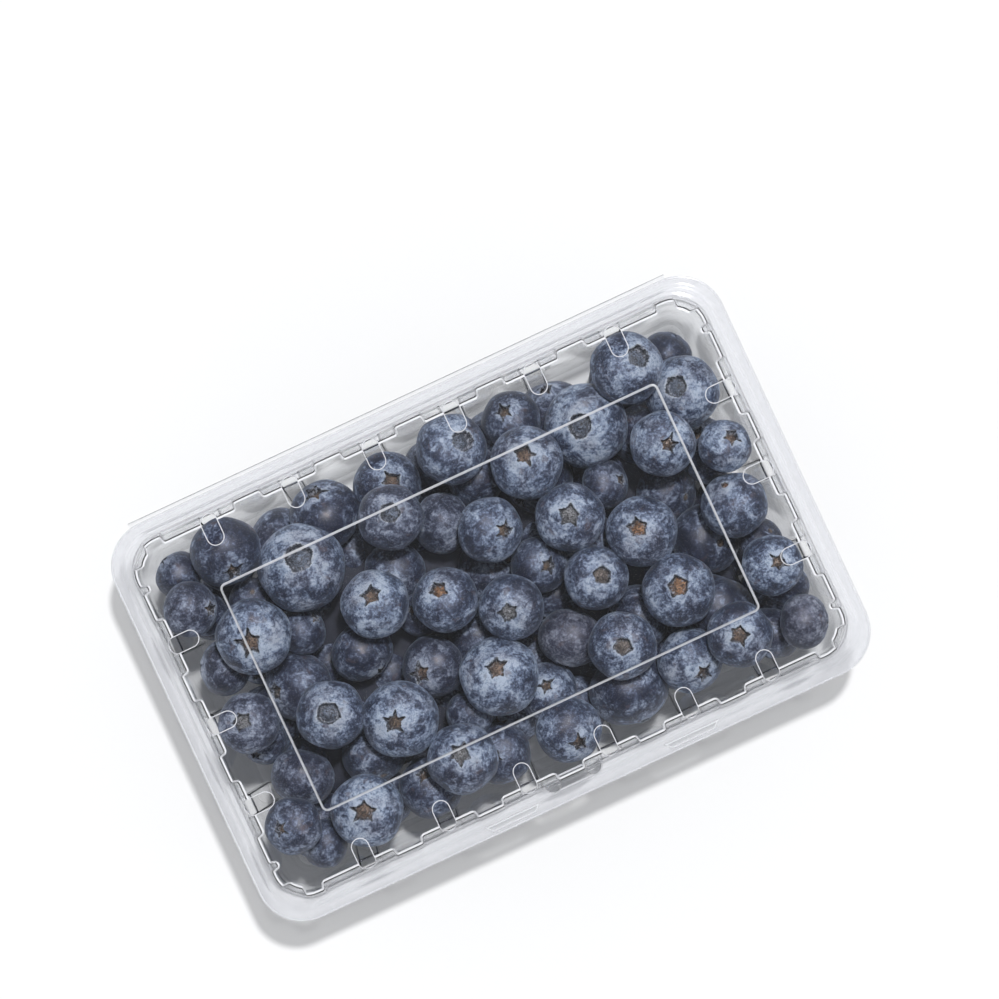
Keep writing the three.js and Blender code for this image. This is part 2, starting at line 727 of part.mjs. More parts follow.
const clearPlastic = new THREE.MeshStandardMaterial({
  color: 0xe6ebef,
  roughness: 0.08,
  metalness: 0,
  transparent: true,
  opacity: 0.3,
});
const lidPlastic = clearPlastic.clone();
const bloomedSkin = new THREE.MeshStandardMaterial({
  color: 0x3f4a66,
  roughness: 0.62,
  metalness: 0,
});

function named(name, solid, material) {
  const mesh = new THREE.Mesh(toGeometry(solid), material);
  mesh.name = name;
  return mesh;
}

const punnet = new THREE.Group();
punnet.add(named('tray', makeTray(), clearPlastic));
punnet.add(named('lid', makeLid(), lidPlastic));
punnet.add(named('blueberries', makeHeap(), bloomedSkin));

export default punnet;
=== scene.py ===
"""A clear clamshell punnet heaped with blueberries, shut, on a pale floor."""
from collections import namedtuple
from functools import partial
from math import acos, asin, atan2, copysign, cos, exp, hypot, pi, radians, sin, sqrt, tau

import bmesh
import bpy
from mathutils import Matrix, Quaternion, Vector, noise
from mathutils.bvhtree import BVHTree


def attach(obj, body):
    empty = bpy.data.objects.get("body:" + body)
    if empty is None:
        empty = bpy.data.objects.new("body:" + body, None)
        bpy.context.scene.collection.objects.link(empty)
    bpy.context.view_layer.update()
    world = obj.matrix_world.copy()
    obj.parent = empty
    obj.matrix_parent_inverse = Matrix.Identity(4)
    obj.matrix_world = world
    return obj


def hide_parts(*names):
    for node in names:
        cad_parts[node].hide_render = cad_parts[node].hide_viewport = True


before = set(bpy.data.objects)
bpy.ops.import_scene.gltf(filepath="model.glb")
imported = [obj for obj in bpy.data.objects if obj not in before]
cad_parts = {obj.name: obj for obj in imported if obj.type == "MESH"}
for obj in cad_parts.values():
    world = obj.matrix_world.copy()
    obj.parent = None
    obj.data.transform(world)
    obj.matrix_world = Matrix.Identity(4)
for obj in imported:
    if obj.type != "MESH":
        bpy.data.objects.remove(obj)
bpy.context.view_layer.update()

MM = 0.001


def oblong(length, width, radius, shift=0.0):
    """A rounded rectangle in plan, its middle shifted along y."""
    return {"length": length, "width": width, "radius": radius, "shift": shift}


# ---------- sizes, millimetres

SHEET = 0.6
SKIN = 0.45
SEAM = 0.3
PARTING_HEIGHT = 29.85
LID_BASE = PARTING_HEIGHT + SEAM / 2
LID_PLATE = LID_BASE + SHEET
TRAY_TOP = PARTING_HEIGHT - SEAM / 2
LID_HEIGHT = 10
BEAD_RISE = 1.2
BEAD_FOOT_INSET = 2.1
BEAD_TOP_WIDTH = 0.9
FLANGE = oblong(150.0, 97.25, 10.5, -0.475)
MOUTH = oblong(141.4, 89.0, 8.5)
TRAY_TAPER = 5.2
LID_TAPER = 0.9
SHOULDER = 0.6

PITCH = 19.84
BAY_WIDTH = 5.6
BAY_DEPTH = 1.6
RIB_WIDTH = 6.4
RIB_DEPTH = 1.2
RIB_TOP = 24.0
WALL_SLACK = 0.3
VENT_WIDTH = 3.8
VENT_LENGTH = 7.3
VENT_INSET = 1.0
VENT_LOWEST = 3
FLOOR_VENT_TOP = 5.5
PANEL_END_LONG = 61.2
PANEL_END_SHORT = 35.2

LABEL = oblong(107.3, 55.8, 1.4)
LABEL_RISE = 0.45
LID_TOP = LID_BASE + LID_HEIGHT - 0.5
FLOOR_PANEL = oblong(104.0, 54.0, 3.0)
FLOOR_RISE = 1.2
FOOT_ROUND = 1.2

# A wall that steps back: its bends, the slope between them, and their shares of its points
BEND = 0.5
STEP_SLOPE = 0.2
BEND_SHARE = 0.4
STRAIGHT_SHARE = 0.2
STEP_POINTS = 10

# Half of the turn that a corner's window takes up, and how softly it starts, in quarter turns
CORNER_WINDOW = 0.25
CORNER_RAMP = 0.08

# A rounded fold: the most of a level that it takes up, and its steps
FOLD_SHARE = 0.45
FOLD_STEPS = 4
SHARP_ANGLE = 38
LEAST_RADIUS = 0.8
WELD = 1e-4

# The three plastics of a piece, as they lie in its material slots: clear, whitened along folds
# as a painted highlight, and a pale edge that is partly haze and partly painted reflection
CLEAR_SHEET, PAINTED_HIGHLIGHT, PALE_EDGE = 0, 1, 2

HINGE_Y = 48.75
HINGE_OVERLAP = 0.4
HINGE_REACH = 0.32
HINGE_RISE = 0.2
HINGE_ENDS = (-66.7, 65.7)

# ---------- helpers


def mesh_from(name, bm):
    """Turns a bmesh in millimetres into a mesh in metres."""
    bmesh.ops.scale(bm, vec=(MM, MM, MM), verts=bm.verts)
    mesh = bpy.data.meshes.new(name)
    bm.to_mesh(mesh)
    bm.free()
    return mesh


def add_object(name, data):
    made = bpy.data.objects.new(name, data)
    bpy.context.scene.collection.objects.link(made)
    return made


def finish_piece(name, bm, materials):
    """Turns a bmesh in millimetres into a piece in metres, at the origin."""
    mesh = mesh_from(name, bm)
    for material in materials:
        mesh.materials.append(material)
    mesh.shade_smooth()
    return add_object(name, mesh)


def extrude_by(bm, faces, vec):
    """Extrudes faces along a vector and returns the points of their new ends."""
    grown = bmesh.ops.extrude_face_region(bm, geom=faces)["geom"]
    far = [v for v in grown if isinstance(v, bmesh.types.BMVert)]
    bmesh.ops.translate(bm, verts=far, vec=vec)
    bmesh.ops.recalc_face_normals(bm, faces=bm.faces)
    return far


def settle_modifiers(piece):
    """Applies every modifier of a piece."""
    bpy.context.view_layer.update()
    graph = bpy.context.evaluated_depsgraph_get()
    mesh = bpy.data.meshes.new_from_object(piece.evaluated_get(graph))
    piece.modifiers.clear()
    piece.data = mesh


# ---------- outlines

Side = namedtuple("Side", "ahead out long")
SIDES = (
    Side(Vector((1, 0)), Vector((0, -1)), True),
    Side(Vector((0, 1)), Vector((1, 0)), False),
    Side(Vector((-1, 0)), Vector((0, 1)), True),
    Side(Vector((0, -1)), Vector((-1, 0)), False),
)
VENTS_LONG = [n * PITCH for n in (-2.5, -1.5, -0.5, 0.5, 1.5, 2.5)]
VENTS_SHORT = [n * PITCH for n in (-1, 0, 1)]


def panels_between(bays, end):
    """Stretches of one side that lie between its bays."""
    edges = [-end] + [x + s * BAY_WIDTH / 2 for x in bays for s in (-1, 1)] + [end]
    return list(zip(edges[::2], edges[1::2]))


LID_PANELS = {
    "long": panels_between([n * PITCH for n in (-2, -1, 0, 1, 2)], PANEL_END_LONG),
    "short": panels_between([n * PITCH for n in (-1.5, -0.5, 0.5, 1.5)], PANEL_END_SHORT),
    "corner": True,
}
TRAY_RIBS = {
    "long": [(x - RIB_WIDTH / 2, x + RIB_WIDTH / 2) for x in VENTS_LONG],
    "short": [(x - RIB_WIDTH / 2, x + RIB_WIDTH / 2) for x in VENTS_SHORT],
    "corner": False,
}
PLAIN = {"long": [], "short": [], "corner": False}


def wall_step(t):
    """A wall that steps back round two bends: how far along and how deep it has come."""
    deep = BEND / BAY_DEPTH
    if t < BEND_SHARE:
        angle = t / BEND_SHARE * pi / 2
        return sin(angle) * BEND, (1 - cos(angle)) * deep
    if t > BEND_SHARE + STRAIGHT_SHARE:
        angle = (1 - t) / BEND_SHARE * pi / 2
        along = (2 - sin(angle)) * BEND + STEP_SLOPE
        return along, 1 - (1 - cos(angle)) * deep
    down = (t - BEND_SHARE) / STRAIGHT_SHARE
    return BEND + STEP_SLOPE * down, deep + down * (1 - 2 * deep)


def smooth_step(t):
    t = min(1.0, max(0.0, t))
    return t * t * (3 - 2 * t)


def stations_of(windows, corner_steps=20):
    """Where the points of an outline stand, and how far each is set back (0 to 1)."""
    steps = [wall_step(number / STEP_POINTS) for number in range(STEP_POINTS + 1)]
    stations = []
    for number, side in enumerate(SIDES):
        for start, end in windows["long"] if side.long else windows["short"]:
            stations += [(number, start + along, None, deep) for along, deep in steps]
            stations += [(number, end - along, None, deep) for along, deep in steps[::-1]]
        for step in range(corner_steps + 1):
            turn = step / corner_steps
            deep = 0.0
            if windows["corner"]:
                deep = smooth_step((CORNER_WINDOW - abs(turn - 0.5)) / CORNER_RAMP)
            stations.append((number, None, turn, deep))
    return stations


def outline_point(station, size, setback):
    """One point of a rounded rectangle, set back in its windows."""
    number, along, turn, deep = station
    side = SIDES[number]
    reach = (size["length"] if side.long else size["width"]) / 2
    across = (size["width"] if side.long else size["length"]) / 2
    radius = size["radius"]
    if turn is None:
        normal = side.out
        base = side.ahead * along + side.out * across
    else:
        angle = turn * pi / 2
        normal = side.out * cos(angle) + side.ahead * sin(angle)
        centre = side.ahead * (reach - radius) + side.out * (across - radius)
        base = centre + normal * radius
    place = base - normal * (deep * setback)
    return Vector((place.x, place.y + size["shift"]))


def inset(size, amount):
    """A rounded rectangle drawn in by the same amount all round."""
    radius = max(size["radius"] - amount, LEAST_RADIUS)
    length, width = size["length"] - 2 * amount, size["width"] - 2 * amount
    return oblong(length, width, radius, size["shift"])


def level(size, z, setback=0.0, line=0, bend=0.55):
    """One level of a formed wall: its outline, its height, how deep its windows are, which
    plastic leads up to it and how far its fold is rounded."""
    return {**size, "z": z, "setback": setback, "line": line, "bend": bend}


def between(a, b, t):
    return {key: a[key] + (b[key] - a[key]) * t for key in a}


def distance(a, b):
    """How far apart two levels lie, seen in section across the wall."""
    across = (a["width"] - b["width"]) / 2
    set_back = a["setback"] - b["setback"]
    return hypot(max(abs(across), abs(set_back)), a["z"] - b["z"])


def rounded(levels):
    """Rounds a wall's section at every level but the first and the last."""
    result = [levels[0]]
    for before, here, after in zip(levels, levels[1:], levels[2:]):
        first, last = (
            between(here, other, min(FOLD_SHARE, here["bend"] / max(distance(here, other), 0.01)))
            for other in (before, after)
        )
        for step in range(FOLD_STEPS + 1):
            t = step / FOLD_STEPS
            bend = between(between(first, here, t), between(here, last, t), t)
            plastic = here["line"]
            if not step:
                pale = PALE_EDGE in (before["line"], here["line"])
                plastic = PALE_EDGE if pale else CLEAR_SHEET
            result.append({**bend, "line": plastic})
    return result + [levels[-1]]


def edge_loop(bm, stations, size):
    """A closed loop of edges on an outline."""
    verts = [
        bm.verts.new((*outline_point(s, size, size["setback"]), size["z"])) for s in stations
    ]
    edges = [bm.edges.new(pair) for pair in zip(verts, verts[1:] + verts[:1])]
    return verts, edges


def next_ring(bm, stations, verts, edges, size):
    """Extrudes a loop of edges once and lays the new loop on its outline."""
    grown = bmesh.ops.extrude_edge_only(bm, edges=edges)["geom"]
    old = set(verts)
    above = {}
    for part in grown:
        if isinstance(part, bmesh.types.BMFace):
            part.material_index = size["line"]
        elif isinstance(part, bmesh.types.BMVert):
            for edge in part.link_edges:
                if edge.other_vert(part) in old:
                    above[edge.other_vert(part)] = part
    new_verts = [above[v] for v in verts]
    for station, vert in zip(stations, new_verts):
        vert.co = (*outline_point(station, size, size["setback"]), size["z"])
    new_edges = [bm.edges.get(pair) for pair in zip(new_verts, new_verts[1:] + new_verts[:1])]
    return new_verts, new_edges


def draw_wall(bm, stations, levels):
    """Draws a wall level by level. Returns its first and last loops of edges, and the points
    of the last."""
    verts, edges = edge_loop(bm, stations, levels[0])
    first = edges
    for size in levels[1:]:
        verts, edges = next_ring(bm, stations, verts, edges, size)
    return first, edges, verts


def vent_places():
    """Every vent: its side, where it stands along it, and how far out the mouth reaches."""
    for side in SIDES:
        out = (MOUTH["width"] if side.long else MOUTH["length"]) / 2
        for along in VENTS_LONG if side.long else VENTS_SHORT:
            yield side, along, out


def pill_cutter(edge_inset, from_z, to_z):
    """Upright pill-shaped cutters that stand across the edge, all round."""
    bm = bmesh.new()
    half = VENT_WIDTH / 2
    straight = VENT_LENGTH - VENT_WIDTH
    for side, along, out in vent_places():
        turn = atan2(side.out.y, side.out.x)
        foot = side.ahead * along + side.out * (out - edge_inset - half)
        foot = Vector((*foot, from_z))
        ring = bmesh.ops.create_circle(
            bm, cap_ends=True, segments=32, radius=half,
            matrix=Matrix.Translation(foot) @ Matrix.Rotation(turn, 4, "Z"),
        )["verts"]
        inward = -side.out.to_3d()
        inner = [v for v in ring if (v.co - foot).dot(inward) > WELD]
        bmesh.ops.translate(bm, verts=inner, vec=inward * straight)
    extrude_by(bm, bm.faces[:], (0, 0, to_z - from_z))
    return bm


def boolean_with(piece, cutter_bm, operation):
    """Cuts a piece with, or joins it to, another shape."""
    mesh = mesh_from("tool", cutter_bm)
    tool = add_object("tool", mesh)
    cut = piece.modifiers.new("cut", "BOOLEAN")
    cut.operation = operation
    cut.solver = "MANIFOLD"
    cut.object = tool
    settle_modifiers(piece)
    bpy.data.objects.remove(tool)
    bpy.data.meshes.remove(mesh)


def thicken(piece):
    """Gives a formed sheet its thickness, on its inner side."""
    wall = piece.modifiers.new("sheet", "SOLIDIFY")
    wall.thickness = SKIN * MM
    wall.offset = -1.0
    wall.use_even_offset = True
    wall.use_rim = True
    settle_modifiers(piece)


def finish_shading(piece):
    """Smooth bends between flat faces."""
    piece.data.shade_smooth()
    piece.data.set_sharp_from_angle(angle=radians(SHARP_ANGLE))
    weighted = piece.modifiers.new("flat faces", "WEIGHTED_NORMAL")
    weighted.keep_sharp = True
    weighted.weight = 80


# ---------- materials


def shader(owner, kind, **values):
    """A shader node of a material or the world, with the values of its sockets."""
    node = owner.node_tree.nodes.new("ShaderNode" + kind)
    for key, value in values.items():
        node.inputs[key.replace("_", " ")].default_value = value
    return node


def wire(source, output, target, socket):
    source.id_data.links.new(source.outputs[output], target.inputs[socket])


def ramp(owner, stops):
    node = shader(owner, "ValToRGB")
    elements = node.color_ramp.elements
    while len(elements) < len(stops):
        elements.new(0.5)
    for element, (at, colour) in zip(elements, stops):
        element.position = at
        element.color = (*colour, 1)
    return node


def pattern(material, scale, detail, roughness=0.5, distortion=0.0):
    """Noise that stays in its place on a piece."""
    node = shader(
        material, "TexNoise", Scale=scale, Detail=detail, Roughness=roughness,
        Distortion=distortion,
    )
    wire(shader(material, "TexCoord"), "Object", node, "Vector")
    return node


def new_material(name):
    material = bpy.data.materials.new(name)
    material.use_nodes = True
    material.node_tree.nodes.clear()
    return material


def wire_surface(material, node, output="BSDF"):
    wire(node, output, shader(material, "OutputMaterial"), "Surface")


def clear_plastic(name, milky, roughness, passing):
    """Thin formed sheet: clear and glossy, a little milky, wavy from forming. A large milky share
    whitens it: along folds as a painted highlight, on the flanges as haze and painted reflection.
    The share of light that passes it falls off where the light grazes the sheet."""
    material = new_material(name)
    make = partial(shader, material)
    sheet = make(
        "BsdfPrincipled", Base_Color=(0.972, 0.978, 0.988, 1), Roughness=roughness, IOR=1.5,
        Transmission_Weight=1.0,
    )
    bump = make("Bump", Strength=0.35, Distance=0.00035)
    wire(pattern(material, 95.0, 2.0, 0.45), "Fac", bump, "Height")
    wire(bump, "Normal", sheet, "Normal")
    haze = make("BsdfDiffuse", Color=(0.915, 0.925, 0.965, 1))
    clouded = make("MixShader", Fac=milky)
    wire(sheet, "BSDF", clouded, 1)
    wire(haze, "BSDF", clouded, 2)
    let_through = ramp(
        material,
        [(0.0, (passing,) * 3), (0.55, (passing**1.2,) * 3), (1.0, (passing**4,) * 3)],
    )
    wire(make("LayerWeight", Blend=0.5), "Facing", let_through, "Fac")
    through = make("BsdfTransparent")
    wire(let_through, "Color", through, "Color")
    path = make("LightPath")
    either = make("Math")
    either.operation = "MAXIMUM"
    wire(path, "Is Shadow Ray", either, 0)
    wire(path, "Is Diffuse Ray", either, 1)
    mix = make("MixShader")
    wire(either, "Value", mix, "Fac")
    wire(clouded, "Shader", mix, 1)
    wire(through, "BSDF", mix, 2)
    wire_surface(material, mix, "Shader")
    return material


RIM_SCALE = 4.0
SKIN_TONES = [
    (0.14, (0.007, 0.010, 0.026)),
    (0.37, (0.018, 0.025, 0.056)),
    (0.55, (0.070, 0.095, 0.160)),
    (0.70, (0.185, 0.238, 0.348)),
    (0.98, (0.430, 0.500, 0.620)),
]
DULL_TONES = [
    (0.14, (0.011, 0.011, 0.023)),
    (0.43, (0.038, 0.040, 0.066)),
    (0.65, (0.122, 0.129, 0.174)),
    (0.95, (0.300, 0.315, 0.375)),
]
SPECK = (0.42, 0.45, 0.50)
SCUFF = (0.085, 0.055, 0.056)
PRICK = (0.035, 0.042, 0.075)
PALE_LIP = (0.52, 0.55, 0.60)
DRY_CRACK = (0.012, 0.009, 0.010)
CROWN_SHADE = (0.006, 0.005, 0.007)
FOLDED_FLAP = (0.235, 0.245, 0.285)

# Scale, detail, roughness and distortion of each pattern on the skin
PATTERNS = {
    "blotches": (210.0, 4.0, 0.55, 0.5),
    "streaks": (560.0, 4.0, 0.62, 0.9),
    "grain": (1700.0, 4.0, 0.7, 0.0),
    "ragged": (1700.0, 3.0, 0.65, 0.8),
    "fibres": (2300.0, 4.0, 0.7, 1.0),
    "patches": (150.0, 2.0, 0.5, 0.3),
    "specks": (3100.0, 2.0, 0.5, 0.0),
    "scuffs": (330.0, 2.0, 0.5, 0.3),
    "pricks": (2500.0, 2.0, 0.6, 0.4),
    "flaps": (1150.0, 3.0, 0.6, 1.2),
}


def berry_skin(name):
    """Dark blue skin under a mottled waxy bloom, with a dry brown floor in the crown."""
    material = new_material(name)
    make = partial(shader, material)
    link = material.node_tree.links.new

    def join(value, socket):
        if isinstance(value, bpy.types.NodeSocket):
            link(value, socket)
        else:
            socket.default_value = (*value, 1) if isinstance(value, tuple) else value

    def math_node(operation, a, b, clamped=False):
        node = make("Math")
        node.operation = operation
        node.use_clamp = clamped
        join(a, node.inputs[0])
        join(b, node.inputs[1])
        return node.outputs["Value"]

    def times(a, b):
        return math_node("MULTIPLY", a, b)

    def plus(a, b, clamped=False):
        return math_node("ADD", a, b, clamped)

    def around_half(value, gain):
        return times(math_node("SUBTRACT", value, 0.5), gain)

    def mix_colour(factor, a, b):
        node = make("Mix")
        node.data_type = "RGBA"
        link(factor, node.inputs["Factor"])
        join(a, node.inputs[6])
        join(b, node.inputs[7])
        return node.outputs[2]

    def toned(value, tones):
        node = ramp(material, tones)
        link(value, node.inputs["Fac"])
        return node.outputs["Color"]

    def skin_pattern(name):
        return pattern(material, *PATTERNS[name]).outputs["Fac"]

    def spread(value, low, high, to_low=0.0, to_high=1.0):
        node = make("MapRange")
        for number, socket in zip((value, low, high, to_low, to_high), node.inputs):
            join(number, socket)
        return node.outputs["Result"]

    def attribute(name):
        node = make("Attribute")
        node.attribute_name = name
        return node

    marks_and_shade = attribute("marks_and_shade")
    floor = attribute("crown_floor")
    split = make("SeparateColor")
    wire(marks_and_shade, "Color", split, "Color")
    from_crown, bloom, dust = split.outputs
    streaks = skin_pattern("streaks")
    grain = skin_pattern("grain")
    fibres = skin_pattern("fibres")

    # Where the crown, its painted shade (near black at its edge, in its arms and on one side),
    # its pale lip and the bloom round it lie
    rim = plus(times(from_crown, RIM_SCALE), around_half(skin_pattern("ragged"), 0.8))
    in_crown = spread(rim, 0.98, 1.05, 1.0, 0.0)
    painted_crown_shade = math_node("MAXIMUM", spread(rim, 0.62, 0.92), marks_and_shade.outputs["Alpha"])
    halo = times(spread(rim, 1.0, 1.12), spread(rim, 1.3, 2.6, 1.0, 0.0))
    lip = times(spread(rim, 0.96, 1.02), spread(rim, 1.04, 1.24, 1.0, 0.0))
    lip = times(lip, spread(streaks, 0.40, 0.60))
    lip = times(lip, floor.outputs["Alpha"])

    # The bloom
    cover = plus(around_half(skin_pattern("blotches"), 1.5), around_half(streaks, 1.45))
    cover = plus(cover, around_half(grain, 1.25))
    cover = plus(cover, around_half(bloom, 0.75))
    cover = plus(cover, times(halo, 0.20))
    cover = plus(cover, 0.5, True)
    patches = spread(skin_pattern("patches"), 0.46, 0.64)
    dulled = math_node("MAXIMUM", times(patches, 0.55), dust)
    coated = mix_colour(dulled, toned(cover, SKIN_TONES), toned(cover, DULL_TONES))

    # Wear on the bloom
    specks = spread(skin_pattern("specks"), 0.62, 0.72)
    specks = times(specks, plus(times(halo, 0.5), 0.22))
    worn = mix_colour(specks, coated, SPECK)
    worn = mix_colour(spread(skin_pattern("scuffs"), 0.64, 0.72, 0.0, 0.5), worn, SCUFF)
    worn = mix_colour(spread(skin_pattern("pricks"), 0.58, 0.68, 0.0, 0.6), worn, PRICK)
    edged = mix_colour(lip, worn, PALE_LIP)

    # The dry floor of the crown
    dry = mix_colour(spread(fibres, 0.42, 0.60), DRY_CRACK, floor.outputs["Color"])
    # Painted shade: near black on the crown's outer floor, in its arms and on one side of its cup
    dry = mix_colour(painted_crown_shade, dry, CROWN_SHADE)
    folded = times(spread(skin_pattern("flaps"), 0.55, 0.60), spread(rim, 0.46, 0.66))
    dry = mix_colour(folded, dry, FOLDED_FLAP)
    colour = mix_colour(in_crown, edged, dry)

    surface = make(
        "BsdfPrincipled", Specular_IOR_Level=0.35, Sheen_Weight=0.12, Sheen_Roughness=0.5,
        Sheen_Tint=(0.62, 0.76, 1.0, 1),
    )
    link(colour, surface.inputs["Base Color"])
    link(plus(times(cover, 0.30), 0.40, True), surface.inputs["Roughness"])
    height = plus(plus(times(grain, 0.35), streaks), times(times(fibres, in_crown), 2.5))
    bump = make("Bump", Strength=0.35, Distance=0.00018)
    link(height, bump.inputs["Height"])
    wire(bump, "Normal", surface, "Normal")
    wire_surface(material, surface)
    return material


def plain_surface(name, colour, roughness):
    """A surface of one colour, a little lighter and darker from spot to spot."""
    material = new_material(name)
    darker, lighter = (tuple(part * gain for part in colour) for gain in (0.8, 1.1))
    tones = ramp(material, [(0.3, darker), (0.7, lighter)])
    wire(pattern(material, 700.0, 3.0), "Fac", tones, "Fac")
    surface = shader(material, "BsdfPrincipled", Roughness=roughness)
    wire(tones, "Color", surface, "Base Color")
    wire_surface(material, surface)
    return material


# ---------- lid

LIP = 0.11
LIP_SIDES = 6
LIP_CLEAR = 0.05
ABOVE_ALL = 60.0
ROOT = 0.3
SNAP_X, SNAP_Y = 4.9, -43.9
SNAP_PROFILE = [(2.3, -0.2), (2.0, 0.35), (1.95, 2.3), (1.7, 2.95), (1.0, 3.32), (0.0, 3.4)]
THUMB_REST = {"half": 5.0, "y": -46.0, "height": 1.9}
LATCH_TABS = (-16.2, 28.0)
LATCH_TAB = {"width": 13.6, "depth": 1.6, "rise": 0.9, "y": -46.5}


def lid_levels():
    """The lid's upper face, from the edge of its flange to its flat top."""
    bead = LID_PLATE + BEAD_RISE
    shoulder = inset(MOUTH, LID_TAPER)
    # The flange and bead are whitened: partly haze, partly painted reflection of a bright studio
    edge = PALE_EDGE
    return [
        level(FLANGE, LID_PLATE - 0.15, line=edge, bend=0.2),
        # The flange's rounded outer edge is in the whitened fold plastic: a painted highlight
        level(inset(FLANGE, 0.12), LID_PLATE, line=PAINTED_HIGHLIGHT, bend=0.2),
        level(inset(FLANGE, BEAD_FOOT_INSET), LID_PLATE, line=edge),
        level(inset(MOUTH, -BEAD_TOP_WIDTH - 0.25), bead, line=edge),
        level(MOUTH, bead, line=edge),
        level(inset(MOUTH, LID_TAPER * 0.25), bead + 1.6, BAY_DEPTH * 0.55),
        level(shoulder, LID_TOP - 0.45, BAY_DEPTH, bend=0.25),
        # The top of the shoulder is in the whitened fold plastic: a painted highlight along it
        level(inset(shoulder, 0.45), LID_TOP, BAY_DEPTH, PAINTED_HIGHLIGHT, 0.25),
        level(inset(shoulder, SHOULDER + 1.2), LID_TOP, BAY_DEPTH),
    ]


def label_levels():
    """The raised field for a label, from its foot to its flat top."""
    return [
        level(LABEL, LID_TOP),
        # The field's step is in the whitened fold plastic: a painted highlight round the label
        level(inset(LABEL, 0.04), LID_TOP + 0.03, line=PAINTED_HIGHLIGHT),
        level(inset(LABEL, 0.13), LID_TOP + LABEL_RISE - 0.03, line=PAINTED_HIGHLIGHT),
        level(inset(LABEL, 0.17), LID_TOP + LABEL_RISE),
    ]


def snap_dome(place_x):
    bm = bmesh.new()
    verts = [bm.verts.new((radius, 0, z)) for radius, z in SNAP_PROFILE]
    edges = [bm.edges.new(pair) for pair in zip(verts, verts[1:])]
    bmesh.ops.spin(
        bm, geom=verts + edges, cent=(0, 0, 0), axis=(0, 0, 1), angle=tau, steps=32,
        use_merge=True,
    )
    bmesh.ops.remove_doubles(bm, verts=bm.verts, dist=WELD)
    bmesh.ops.holes_fill(bm, edges=bm.edges, sides=64)
    bmesh.ops.translate(bm, verts=bm.verts, vec=(place_x, SNAP_Y, LID_PLATE))
    bmesh.ops.recalc_face_normals(bm, faces=bm.faces)
    return bm


def bevelled_block(outline, height, bevel):
    """A low block on the lid's flange, its upper edges rounded."""
    from_z = LID_PLATE - ROOT
    bm = bmesh.new()
    face = bm.faces.new([bm.verts.new((x, y, from_z)) for x, y in outline])
    top = extrude_by(bm, [face], (0, 0, LID_PLATE + height - from_z))
    edges = [e for e in bm.edges if any(v in top for v in e.verts)]
    rounding = bmesh.ops.bevel(
        bm, geom=edges, offset=bevel, segments=3, affect="EDGES", profile=0.5, material=-1
    )
    # The rounded edges are in the whitened fold plastic: a painted highlight
    for face in rounding["faces"]:
        face.material_index = PAINTED_HIGHLIGHT
    return bm


def formed_sheet(name, materials, stations, levels, field_stations, field_levels):
    """A formed sheet: a wall, and a flat field set inside its last level."""
    bm = bmesh.new()
    inner = draw_wall(bm, stations, rounded(levels))[1]
    foot, _, field_verts = draw_wall(bm, field_stations, field_levels)
    bmesh.ops.triangle_fill(
        bm, use_beauty=True, use_dissolve=False, edges=inner + foot, normal=(0, 0, 1)
    )
    bm.faces.new(field_verts)
    bmesh.ops.remove_doubles(bm, verts=bm.verts, dist=WELD)
    bmesh.ops.recalc_face_normals(bm, faces=bm.faces)
    if sum(face.normal.z * face.calc_area() for face in bm.faces) < 0:
        bmesh.ops.reverse_faces(bm, faces=bm.faces)
    piece = finish_piece(name, bm, materials)
    thicken(piece)
    return piece


def build_lid(materials):
    piece = formed_sheet(
        "punnet_lid", materials, stations_of(LID_PANELS), lid_levels(),
        stations_of(PLAIN, corner_steps=6), label_levels(),
    )
    surface = BVHTree.FromPolygons(
        [v.co for v in piece.data.vertices], [p.vertices[:] for p in piece.data.polygons]
    )
    vents = pill_cutter(VENT_INSET, LID_BASE + VENT_LOWEST, LID_TOP + 2)
    boolean_with(piece, vents, "DIFFERENCE")
    for place_x in (-SNAP_X, SNAP_X):
        boolean_with(piece, snap_dome(place_x), "UNION")
    boolean_with(piece, thumb_rest(), "UNION")
    for place_x in LATCH_TABS:
        boolean_with(piece, latch_tab(place_x), "UNION")
    add_lips(piece, surface)
    finish_shading(piece)
    return piece


def add_lips(piece, surface):
    """Joins the lips of the vents to the lid."""
    lips = bmesh.new()
    vent_lips(lips, surface)
    bmesh.ops.recalc_face_normals(lips, faces=lips.faces)
    # The lips are in the whitened fold plastic: a painted highlight round every vent
    for face in lips.faces:
        face.material_index = PAINTED_HIGHLIGHT
        face.smooth = True
    blank = mesh_from("lips", lips)
    bm = bmesh.new()
    bm.from_mesh(piece.data)
    bm.from_mesh(blank)
    bm.to_mesh(piece.data)
    bm.free()
    bpy.data.meshes.remove(blank)


def vent_lips(bm, surface):
    """A fine raised lip round every vent, laid on the lid's upper face."""
    half = VENT_WIDTH / 2 + LIP_CLEAR
    straight = VENT_LENGTH - VENT_WIDTH
    arc = [pi * step / 12 for step in range(13)]
    ends = [(cos(a) * half, sin(a) * half + straight / 2) for a in arc]
    outline = ends + [(-x, -y) for x, y in ends]
    for side, along, out in vent_places():
        across = out - VENT_INSET - VENT_LENGTH / 2
        centre = side.ahead * along + side.out * across
        spots = []
        for x, y in outline:
            flat = centre + side.ahead * x + side.out * y
            above = Vector((*flat, ABOVE_ALL)) * MM
            spots.append(surface.ray_cast(above, Vector((0, 0, -1)))[0] / MM)
        lay_lip(bm, spots)


